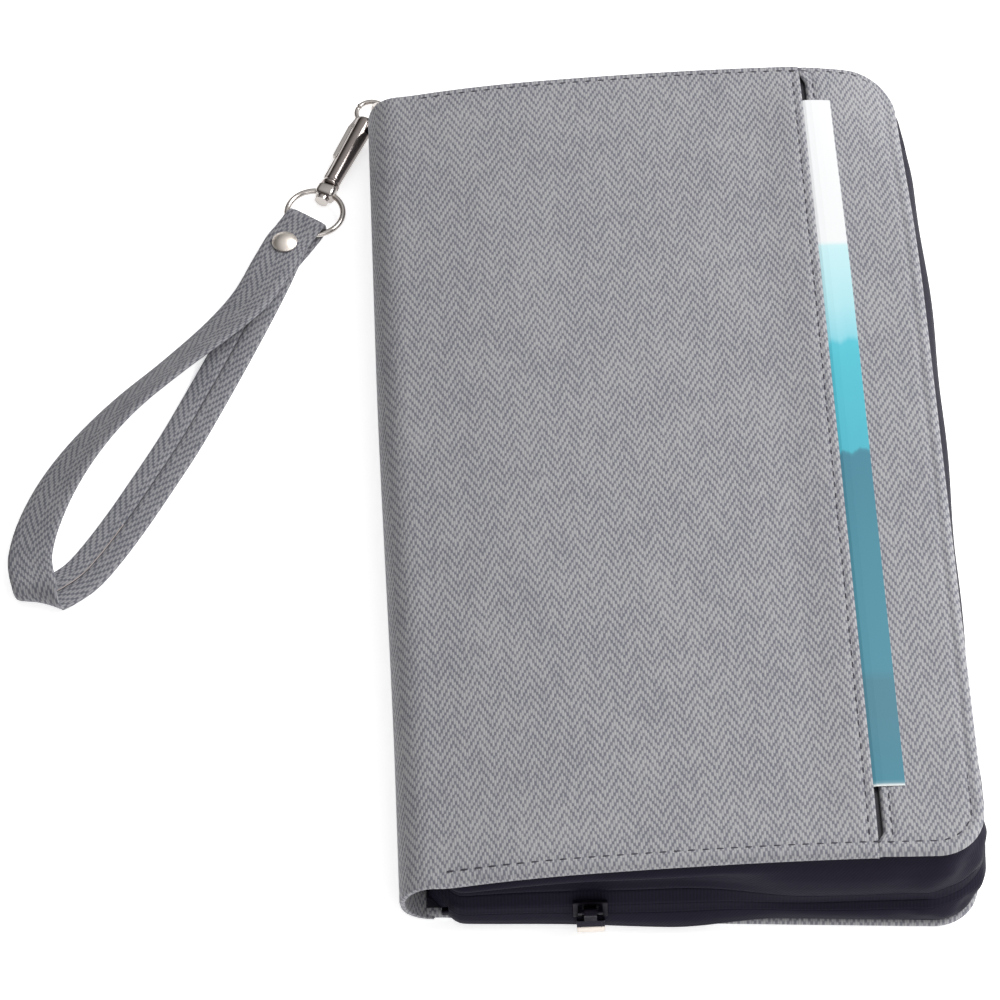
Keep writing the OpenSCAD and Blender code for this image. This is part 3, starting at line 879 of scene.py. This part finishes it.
def make_outer_panel():
    """One piece of cloth: under the spine, round it and on as the slip pocket's panel."""
    line = spine_profile()
    travel = travel_along(line)
    normal = line_normal(line)
    on_cover = smooth(line[:, 0], SPINE_X - 5, SPINE_X + 6) * (line[:, 1] > SPINE_R)
    # The hem is thinner on the spine than on the cover
    r1, height, r2 = (
        thin + on_cover * (full - thin) for thin, full in zip(SPINE_HEM, PANEL_HEM[:3])
    )
    under = PANEL_HEM[3]
    inside = HALF_H - r1
    near_slit = travel[-1] - travel
    rolled = 0.55 * np.clip(1 - near_slit / 0.9, 0, 1) ** 2
    steps = [(-1, e, True) for e in np.linspace(1, 0, 12)[:-1]]
    steps += [(1, share, False) for share in np.r_[-EDGE_STEPS[::-1], EDGE_STEPS[1:]]]
    steps += [(1, e, True) for e in np.linspace(0, 1, 12)[1:]]
    points, cloth = [], []
    for side, share, on_hem in steps:
        if on_hem:
            t = share * hem_length(r1, height, r2, under)
            out, down = hem_profile(t, r1, height, r2, under)
            drop = down + rolled * (1 - share)
            y = side * (inside + out + 0.3)
            laid = side * (inside + t)
        else:
            y = laid = share * inside
            drop = groove(HALF_H - np.abs(y) - stitch_inset(y)) * (0.2 + 0.8 * on_cover)
            drop = drop + groove(near_slit - SLIT_STITCH) + rolled
        x = line[:, 0] - drop * normal[:, 0]
        z = line[:, 1] - drop * normal[:, 1]
        z = z + on_cover * (crown(x, y) - crown(x, 0))
        z = z + on_cover * mouth_lift((x - SPINE_X) / math.cos(TILT), y)
        y = y + settle(x, y) * (1 - np.clip(z / front_z(x), 0, 1))
        points.append(stacked(x - on_cover * pull_in(x, y) + lean(x, y), y, z))
        cloth.append(stacked(travel - travel[-1], laid))
    panel = grid_object("outer_panel_cloth", np.array(points), COVER_CLOTH, np.array(cloth))
    thicken(panel, 0.7, -1, 0.25)
    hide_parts("spine_cover", "front_spine_fold", "slip_pocket_panel")
    blend_at_hinge(panel)


def blend_at_hinge(piece):
    """Bakes a piece's transform into its mesh."""
    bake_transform(piece)


def make_strip():
    """The strip of cover beside the slit, with the three rolled hems."""
    across, up, drop, inset = cover_grid(STRIP_U, FRONT_W, STRIP_HEM)
    from_slit = across - STRIP_U
    own_seam = groove(from_slit - STRIP_STITCH) * (drop < 0.01)
    rolled = 0.8 * np.clip(1 - from_slit / 1.1, 0, 1) ** 2
    # The slit closes where its ends are sewn into the hems
    closed = smooth(np.abs(up), HALF_H - 6, HALF_H - 2.5)
    w = -STRIP_LOWER - drop - groove(inset - stitch_inset(up)) - own_seam
    w = w - rolled * (1 - 0.7 * closed)
    w = w + 0.25 * closed * np.clip(1 - from_slit / 6, 0, 1)
    points = on_front(across - 1.3 * closed * np.clip(1 - from_slit / 8, 0, 1), up, w)
    strip = grid_object("front_strip_cloth", points, COVER_CLOTH, stacked(across, up))
    thicken(strip, 0.6, -1, 0.22)
    identify(strip, "herringbone", "front", "front_cover", "front_board")


def sheet_grid(start, far, inset):
    """A flat sheet with rounded corners at its far side, as across and up."""
    across, up = np.meshgrid(
        np.linspace(start, far - inset, 60), np.linspace(-HALF_H + inset, HALF_H - inset, 90)
    )
    return round_corners(across, up, far, lambda reach: reach)[:2]


def make_linings():
    across, up = sheet_grid(2.0, FRONT_W, LINING_INSET)
    points = on_front(across, up, -FRONT_T + 0.1)
    cloth = stacked(across, up)
    front = grid_object("front_lining_cloth", points[:, ::-1], LINING, cloth[:, ::-1])
    identify(front, "lining", "front", "front_lining")

    across, up = sheet_grid(SPINE_X, HALF_W, LINING_INSET)
    points = stacked(across, up + settle(across, up), BACK_TOP - 0.05)
    back = grid_object("back_lining_cloth", points, LINING, stacked(across, up))
    identify(back, "lining", "back", "back_lining")

    u, v = np.meshgrid(np.linspace(3, SLIT_U + 5, 50), np.linspace(-HALF_H + 3.4, HALF_H - 3.4, 60))
    pocket = grid_object("pocket_lining_cloth", on_front(u, v, -1.75), LINING, stacked(u, v))
    identify(pocket, "lining", "front", "pocket_lining")

    line = spine_profile()
    line = line[: np.argmax(line[:, 1] > SPINE_LINING_TOP)]
    inner = line - SPINE_SKIN * line_normal(line)
    travel = np.arange(len(inner)) * SECTION_STEP
    # The cover cloth is turned in at both ends of the spine, and the lining starts past it
    reach = HALF_H - SPINE_SKIN
    for name, low, high, material, slot in (
        ("spine_lining_cloth", -reach + FACING, reach - FACING, LINING, "lining"),
        ("spine_facing_bottom", -reach, -reach + FACING, COVER_CLOTH, "herringbone"),
        ("spine_facing_top", reach - FACING, reach, COVER_CLOTH, "herringbone"),
    ):
        y = np.linspace(low, high, 40)[:, None]
        points = stacked(inner[:, 0] + lean(inner[:, 0], y), y, inner[:, 1])
        piece = grid_object(name, points, material, stacked(travel, y))
        if material is LINING:
            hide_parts("spine_lining")
        blend_at_hinge(piece)


def edge_stitch_path(u_start):
    """The stitched path along the bottom, up the zip side and back along the top."""
    turn = FRONT_W - CORNER_R
    top = float(stitch_inset(HALF_H))
    path = [(u, -HALF_H + STITCH_INSET) for u in np.linspace(u_start, turn, 60)]
    for side, from_deg, to_deg in ((-1, -90, 0), (1, 0, 90)):
        for a in np.radians(np.linspace(from_deg, to_deg, 12)):
            inset = STITCH_INSET + (top - STITCH_INSET) * max(0, a) / (math.pi / 2)
            r = CORNER_R - inset
            path.append((turn + r * math.cos(a), side * CORNER_Y + r * math.sin(a)))
    path += [(u, HALF_H - top) for u in np.linspace(turn, u_start, 60)]
    path = np.array(path)
    return on_front(path[:, 0], path[:, 1], 0)


def make_cover_stitches():
    up = np.array([-math.sin(TILT), 0, math.cos(TILT)])
    edge = edge_stitch_path(4.0)
    on_strip = edge[:, 0] > SPINE_X + SLIT_U * math.cos(TILT)
    edge[:, 2] -= THREAD_SUNK + STRIP_LOWER * on_strip
    v = np.linspace(-HALF_H + 4, HALF_H - 4, 40)
    by_slit = SLIT_U - SLIT_STITCH
    lines = {
        "edge_stitches": edge,
        "slit_stitches": on_front(by_slit, v, mouth_lift(by_slit, v) - THREAD_SUNK),
        "strip_stitches": on_front(STRIP_U + STRIP_STITCH, v, -THREAD_SUNK - STRIP_LOWER),
    }
    for name, path in lines.items():
        sewn = stitches(name, path, up, DARK_THREAD)
        identify(sewn, "herringbone", "front")


def make_leaflet():
    """The leaflet's paper, standing a little out of the pocket over the strip."""
    low, high = node_box("leaflet")
    u = (np.linspace(low[0], high[0], 60) - SPINE_X) / math.cos(TILT)
    u, v = np.meshgrid(u, np.linspace(low[1], high[1], 60))
    w = -1.0 + 0.85 * smooth(u, SLIT_U - 3, SLIT_U + 1.6)
    paper = grid_object("leaflet_paper", on_front(u, v, w), PAPER, stacked(u, v - low[1]))
    thicken(paper, 0.24, 0)
    paper.data.polygons.foreach_set("use_smooth", [False] * len(paper.data.polygons))
    identify(paper, "leaflet_paper", "leaflet", "leaflet")


# ---- Gusset and zip ----

GUSSET_START = SPINE_X + 0.5
ZIP_START = -HALF_W + 13
ZIP_BULGE = 3.0
SOFTEN_PASSES = 3
# Points down each half of the wall, and how many of them, next to the zip, are its tape
WALL_POINTS = 26
TAPE_POINTS = 7
# Distance along the gusset at which it turns the bottom corner
BOTTOM_CORNER_AT = 128


def gusset_stations():
    """Places along the edge: x, y, outward x, outward y and distance along."""
    turn = HALF_W - CORNER_R

    def corner(middle_y, start, end):
        angles = np.radians(np.linspace(start, end, 20))
        nx, ny = np.cos(angles), np.sin(angles)
        return stacked(turn + CORNER_R * nx, middle_y + CORNER_R * ny, nx, ny)

    places = np.vstack(
        [
            stacked(np.arange(GUSSET_START, turn, 1.0), -HALF_H, 0, -1),
            corner(-CORNER_Y, -90, 0),
            stacked(HALF_W, np.arange(-CORNER_Y + 1.5, CORNER_Y, 1.5), 1, 0),
            corner(CORNER_Y, 0, 90),
            stacked(np.arange(turn, GUSSET_START, -1.0), HALF_H, 0, 1),
        ]
    )
    return np.c_[places, travel_along(places[:, :2])]


def wrinkles(distance, share):
    """Slanting folds where the gusset turns the bottom corner."""
    near = np.exp(-(((distance - BOTTOM_CORNER_AT) / 16) ** 2))
    folds = np.sin(distance * 0.42 + share * 5.5) * 0.7
    folds = folds + np.sin(distance * 0.9 - share * 4 + 1.2) * 0.3
    slack = np.sin(distance * 0.13 + share * 2.0) * 0.25
    return (near * folds * 0.9 + slack) * np.sin(np.pi * np.clip(share, 0, 1))


def gusset_shape():
    """Points of the whole wall: the front half from the cover down to the zip, then the
    back half from the zip to the back cover. Near the spine it sinks into a hollow under
    an overhanging lip, and towards the zip side the full wallet makes it bulge."""
    x, y, nx, ny, distance = (column[:, None] for column in gusset_stations().T)
    hollow = np.where(ny < -0.5, 1 - smooth(x, -5, 26), 0.0)
    at_top = smooth(y, HALF_H - 60, HALF_H - 10)
    tape_out = ZIP_BULGE * np.clip((x - ZIP_START) / (HALF_W - CORNER_R - ZIP_START), 0, 1)
    # The zip side bulges more near its top than near its bottom
    on_side = np.clip(nx, 0, 1)
    slack = 1 - smooth(y, -80, 40)
    tape_out = tape_out * (1 - on_side * (0.15 + 0.35 * slack))
    tape_out = tape_out * (1 - 0.95 * smooth(y, 88, 116))
    cover_z = front_z(x) - FRONT_T / math.cos(TILT)
    under = cover_z + crown(x, y) + 0.7
    zip_z = (cover_z + BACK_TOP) / 2 - 1.8 * smooth(x, 5, 30) * (y < HALF_H - 20)
    zip_z = zip_z - 0.4 * CORNER_DROOP * at_top * smooth(x, 36, 62)
    # Both ends turn in behind the spine
    tucked = 7 * (1 - smooth(x, SPINE_X, SPINE_X + 8))
    share = np.linspace(0, 1, WALL_POINTS)

    def rows(keys, deep, full):
        """A half's bulge down its height, blended from the hollow's to the full wallet's."""
        return hollow * np.interp(share, keys, deep) + (1 - hollow) * np.interp(share, keys, full)

    def place(out, z, up, kept):
        out = out - tucked
        return stacked(x + nx * out - pull_in(x, y) * kept, y + ny * out + up, z)

    keys = [0, 0.1, 0.22, 0.4, 0.6, 0.8, 1]
    out = rows(keys, [-1.6, -0.2, 0.7, -2.2, -3.6, -1.8, 0], [-1.6, -0.7, 0.3, 0.9, 0.7, 0.2, 0])
    out -= on_side * slack * 0.9 * np.sin(np.pi * share)
    out += tape_out * smooth(share, 0, 0.75) + wrinkles(distance, share)
    front = place(out, under + (zip_z - under) * share, 0, 1)

    keys = [0, 0.2, 0.45, 0.7, 0.85, 1]
    out = rows(keys, [0, 0.2, 0.5, 0, -0.5, -1.8], [0, 0.2, 0.4, 0.5, 0.2, -0.8])
    overhang = hollow * (0.2 + 0.054 * (x + 58))
    out += overhang * np.interp(share, keys, [0, 0.1, 0.6, 1, 0.7, 0])
    out += tape_out * (1 - smooth(share, 0.25, 1)) + wrinkles(distance, 1 - share) * 0.8
    sunk = np.interp(share, keys, [0, 0.25, 0.6, 0.93, 1.02, 1])
    fall = hollow * sunk + (1 - hollow) * share
    base = BACK_TOP - 0.1 - 0.9 * hollow
    shift = settle(x, y) * (1 - hollow) * share
    back = place(out, zip_z + (base - zip_z) * fall, shift, 1 - share)
    return distance[:, 0], front, back


def soften(points):
    """Evens out the bends of a grid, holding its edges."""
    for _ in range(SOFTEN_PASSES):
        inner = points[1:-1, 1:-1]
        around = points[:-2, 1:-1] + points[2:, 1:-1] + points[1:-1, :-2] + points[1:-1, 2:]
        points[1:-1, 1:-1] = 0.5 * inner + 0.125 * around
    return points


def make_gusset():
    """Each half's wall and zip tape. The front's tape is at the end of its rows of points,
    and the back's at the start."""
    distance, front, back = gusset_shape()
    for points, body, wall, by_zip, meeting in (
        (soften(front), "front", slice(0, 1 - TAPE_POINTS), slice(-TAPE_POINTS, None), -1),
        (soften(back), "back", slice(TAPE_POINTS - 1, None), slice(0, TAPE_POINTS), 0),
    ):
        depth = np.linalg.norm(np.diff(points, axis=1), axis=2)
        down = np.concatenate([np.zeros((len(points), 1)), np.cumsum(depth, 1)], 1)
        cloth = stacked(distance[:, None], down)
        gusset = grid_object(body + "_gusset_cloth", points[:, wall], GUSSET_CLOTH, cloth[:, wall])
        thicken(gusset, 0.5, -1)
        identify(gusset, "gusset_twill", body, body + "_gusset")
        tape = grid_object(body + "_zip_tape_cloth", points[:, by_zip], TAPE, cloth[:, by_zip])
        thicken(tape, 0.8, -1)
        identify(tape, "zip_tape", body, body + "_zip_tape")
        make_coil(body, points[:, meeting], distance)


def make_coil(body, edge, distance):
    """Half of the zip's coil, as a toothed cord just behind the tapes' meeting line."""
    side = 1 if body == "front" else -1
    keep = (distance > 5) & (distance < distance[-1] - 5)
    outward = gusset_stations()[keep, 2:4]
    path = edge[keep].copy()
    path[:, :2] -= 1.0 * outward
    path[:, 2] += side * 0.35
    line = resample(path, LINE_STEP)
    teeth = 0.42 + 0.14 * np.cos(np.arange(len(line)) * math.pi)
    coil = tube(body + "_zip_coil_teeth", line, teeth, TAPE, sides=8)
    identify(coil, "zip_coil", body, body + "_zip_coil")


# ---- Inside pockets ----

FLAP_INSET = 1.6
FLAP_HEM = 3.0
FLAP_THREAD = 0.12


def make_flap(name, node, body, material, slot, place):
    """A flat pocket as a sewn sheet: a crowned middle, a raised hem at its open side and
    stitches round the other sides. place turns across, up and height into a point."""
    low, high = node_box(node)
    across, up = np.meshgrid(np.linspace(low[0], high[0], 50), np.linspace(low[1], high[1], 50))
    edge = np.minimum(
        np.minimum(across - low[0], high[0] - across), np.minimum(up - low[1], high[1] - up)
    )
    seam = np.exp(-(((edge - FLAP_INSET) / 0.6) ** 2))
    height = 0.35 * smooth(edge, 0, 6) - FLAP_THREAD * seam
    height += 0.25 * (1 - smooth(high[1] - up, FLAP_HEM, FLAP_HEM + 0.8))
    piece = grid_object(name, place(across, up, height), material, stacked(across, up))
    thicken(piece, 0.5, -1, 0.12)
    identify(piece, slot, body, node)
    normal = unit(place(0.0, 0.0, 1.0) - place(0.0, 0.0, 0.0))

    def sew(suffix, path, height):
        line = stitches(name + suffix, place(path[:, 0], path[:, 1], height), normal, BLACK_THREAD)
        identify(line, slot, body)

    x1, y1 = low[:2] + FLAP_INSET
    x2, y2 = high[:2] - FLAP_INSET
    corners = np.array([(x1, y2), (x1, y1), (x2, y1), (x2, y2)])
    share = np.linspace(0, 1, 40)[:, None]
    sides = [a + (b - a) * share for a, b in zip(corners[:-1], corners[1:])]
    sew("_stitches", np.vstack(sides), FLAP_THREAD)
    sew("_hem_stitches", stacked(np.linspace(x1, x2, 40), high[1] - FLAP_HEM + 0.4), 0.42)


def on_back_over(node):
    level = node_box(node)[1][2]
    return lambda across, up, height: stacked(across, up, level + height)


def under_front_at(depth):
    return lambda across, up, height: on_front(
        (across - SPINE_X) / math.cos(TILT), up, -depth - height
    )


def make_pockets():
    lining, twilled = (LINING, "lining"), (POCKET_CLOTH, "gusset_twill")
    for node in ["document_pocket"] + [f"card_slot_{number}" for number in range(1, 5)]:
        cloth = lining if node == "document_pocket" else twilled
        make_flap(node + "_cloth", node, "back", *cloth, on_back_over(node))
    at = under_front_at(FRONT_T + 0.9)
    make_flap("boarding_pass_cloth", "boarding_pass_pocket", "front", *lining, at)
    at = under_front_at(FRONT_T + 2.2)
    make_flap("passport_sleeve_cloth", "passport_sleeve", "front", *twilled, at)


def make_pen_loop():
    low, high = node_box("pen_loop")
    r = (high[0] - low[0]) / 2
    y = np.linspace(low[1], high[1], 30)[:, None]
    angles = np.linspace(-math.pi / 2, 1.5 * math.pi, 49)
    x, z = (low[0] + high[0]) / 2 + r * np.cos(angles), high[2] - r + r * np.sin(angles)
    cloth = stacked(y, angles * r)
    loop = grid_object("pen_loop_elastic", stacked(x, y, z)[::-1], ELASTIC, cloth[::-1])
    thicken(loop, 0.6, -1, 0.15)
    identify(loop, "elastic", "back", "pen_loop")


# ---- Hardware ----


def finish_cad_node(node, material):
    """Shows a CAD node as it is, with its finish."""
    piece = frame["nodes"][node]
    piece.data.materials.clear()
    piece.data.materials.append(material)


def rounded_block(name, centre, axes, half, round_r, material):
    """A block with rounded edges. axes are its three directions and half its half sizes."""
    signs = np.array(list(itertools.product((-1, 1), repeat=3)))
    corners = centre + signs * half @ np.array(axes)
    faces = [[0, 1, 3, 2], [4, 6, 7, 5], [0, 4, 5, 1], [2, 3, 7, 6], [0, 2, 6, 4], [1, 5, 7, 3]]
    piece = mesh_object(name, corners, faces, material)
    add_bevel(piece, round_r, 5)
    return use_modifiers(piece)


def in_hook(u, v, w=0.0):
    """A point in the hook's own axes: u to its tip, v to its left, w up."""
    return HOOK + stacked(u, v, w) @ np.array(HOOK_AXES)


def hook_arc(radius, start, end):
    angles = np.radians(np.linspace(start, end, 60))
    return in_hook(CLAW_U + radius * np.cos(angles), radius * np.sin(angles))


def make_hook():
    """Turned barrel with the trigger's slot in its left side, collar, guide rail and claw."""
    collar = [(2.15, 0.3), (2.15, 2.2), (2.3, 2.4), (3.0, 2.4), (3.3, 2.2), (3.4, 1.9)]
    collar += [(3.7, 1.9), (4.0, 2.12)]
    body = [(u, 2.1 + 0.6 * (u - 3.4) / 22.6) for u in np.linspace(4.5, 25.2, 40)]
    nose = [(25.7, 2.55), (25.95, 2.2), (26.0, 0.3)]
    u, radius = np.array(collar + body + nose).T[..., None]
    sides = 96
    angles = angles_round(sides)
    v, w = radius * np.cos(angles), radius * np.sin(angles)
    in_slot = (np.abs(w) < SLOT_HALF_W) & (v > 0) & (u > 4.4)
    v = np.where(in_slot, np.minimum(v, 0.1), v)
    faces = grid_faces(len(u), sides, round_columns=True) + end_faces(len(u), sides)
    points = in_hook(u, v, w).reshape(-1, 3)
    # The barrel takes the darker copy of the nickel, as painted shade for its dark reflections
    barrel = mesh_object("hook_barrel", points, faces, SHADED_BARREL_NICKEL)
    claw = tube("hook_claw", hook_arc(CLAW_R, -158, CLAW_END), 0.7, NICKEL)
    tip = np.radians(CLAW_END)
    end = in_hook(CLAW_U + CLAW_R * math.cos(tip), CLAW_R * math.sin(tip))
    knob = rounded_block("hook_claw_tip", end, np.eye(3), (0.72, 0.72, 0.72), 0.6, NICKEL)
    rail = tube("hook_guide_rail", in_hook(np.linspace(4.6, 11.6, 20), 2.1), 0.6, NICKEL)
    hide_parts("hook_body")
    for piece in (barrel, claw, knob, rail):
        identify(piece, "nickel", "snap_hook")


def make_swivel_loop():
    """Round wire loop with its rounded boss."""
    angles = angles_round(120)
    ring = in_hook(-LOOP_R + LOOP_R * np.cos(angles), LOOP_R * np.sin(angles))
    wire = tube("swivel_loop_wire", ring, 0.75, NICKEL, sides=18, closed=True)
    boss = rounded_block("swivel_loop_boss", HOOK, HOOK_AXES, (2.0, 2.6, 2.3), 1.3, NICKEL)
    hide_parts("swivel_loop")
    for piece in (wire, boss):
        identify(piece, "nickel", "swivel_loop")


def make_end_stops():
    """A small dark stop at each end of the zip."""
    low, high = node_box("zip_end_stops")
    half = np.full(3, 0.8)
    for number, y in enumerate((low[1] + half[1], high[1] - half[1]), 1):
        centre = np.array([(low[0] + high[0]) / 2, y, (low[2] + high[2]) / 2])
        name = f"zip_end_stop_{number}"
        stop = rounded_block(name, centre, np.eye(3), half, 0.3, DARK_METAL)
        if number == 1:
            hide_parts("zip_end_stops")
        identify(stop, "dark_metal", "back")


def make_hardware():
    for node in ("trigger_lever", "d_ring", "pivot_pin", "swivel_rivet", "rivet_post"):
        finish_cad_node(node, NICKEL)
    finish_cad_node("rivet_cap", SATIN_NICKEL)
    make_hook()
    make_swivel_loop()
    make_end_stops()
    finish_cad_node("trigger_spring", STEEL)
    for node in ("zip_slider", "puller_link"):
        finish_cad_node(node, DARK_METAL)


PULLER = joint_place("puller_swing")
PULLER_W = 6.6
PULLER_T = 1.2
TAB_TOP = -3.0
TAB_BOTTOM = -5.9


def make_puller_tab():
    """A folded tab with two sewn rows, and the metal end clamped on it."""
    along_zip = np.array(joint("zip_slide")["axis"])
    outward = -unit(np.cross(UP, along_zip))
    up = np.cross(outward, along_zip)
    angles = np.linspace(0, 2 * math.pi, 33)
    flat, round_r = (PULLER_W - PULLER_T) / 2, PULLER_T / 2
    across = np.sign(np.cos(angles)) * flat * np.clip(4 * np.abs(np.cos(angles)), 0, 1)
    across = across + round_r * np.cos(angles)
    out = round_r * np.clip(1.6 * np.sin(angles), -1, 1)
    heights = np.linspace(TAB_BOTTOM, TAB_TOP, 14)[:, None]
    swell = 1 + 0.12 * np.sin(np.pi * (heights - TAB_BOTTOM) / (TAB_TOP - TAB_BOTTOM))
    axes = np.array([along_zip, outward, up])
    points = PULLER + stacked(across, swell * out, heights) @ axes
    cloth = stacked(across, heights)
    tab = grid_object("puller_tab_cloth", points[:, ::-1], GUSSET_CLOTH, cloth[:, ::-1])
    identify(tab, "gusset_twill", "puller", "puller_tab")
    middle = PULLER + (TAB_BOTTOM - 0.7) * up
    half = (PULLER_W / 2, 0.85, 1.1)
    end = rounded_block("puller_end_metal", middle, axes, half, 0.35, SATIN_NICKEL)
    identify(end, "nickel", "puller", "puller_end")
    heights = np.linspace(TAB_BOTTOM, TAB_TOP, 10)
    for number, side in enumerate((-1, 1)):
        name = f"puller_tab_stitches_{number}"
        row = PULLER + stacked(side * 2.5, PULLER_T / 2 + 0.05, heights) @ axes
        sewn = stitches(name, row, outward, BLACK_THREAD, pitch=0.9, length=0.6, r=0.1)
        identify(sewn, "gusset_twill", "puller")


RING_BAR = joint_place("ring_swing")
RING_TAB_R = 1.5


def make_ring_tab():
    """A strip of gusset cloth folded round the D-ring's bar and sewn into the spine."""
    low, high = node_box("ring_tab")
    turn = np.radians(np.linspace(180, 0, 17))
    legs = np.linspace(low[1], RING_BAR[1], 16)[:-1]
    x, y = RING_BAR[:2]
    path = np.vstack(
        [
            stacked(x - RING_TAB_R, legs),
            stacked(x + RING_TAB_R * np.cos(turn), y + RING_TAB_R * np.sin(turn)),
            stacked(x + RING_TAB_R, legs[::-1]),
        ]
    )
    z = np.linspace(low[2] + 0.2, high[2] - 0.1, 12)[:, None]
    cloth = stacked(travel_along(path), z)
    tab = grid_object("ring_tab_cloth", stacked(*path.T, z), GUSSET_CLOTH, cloth)
    thicken(tab, 0.6, 0, 0.15)
    identify(tab, "gusset_twill", "back", "ring_tab")


make_camera()
make_studio()
make_strap()
make_back_cover()
make_outer_panel()
make_strip()
make_linings()
make_cover_stitches()
make_leaflet()
make_gusset()
make_pockets()
make_pen_loop()
make_hardware()
make_puller_tab()
make_ring_tab()
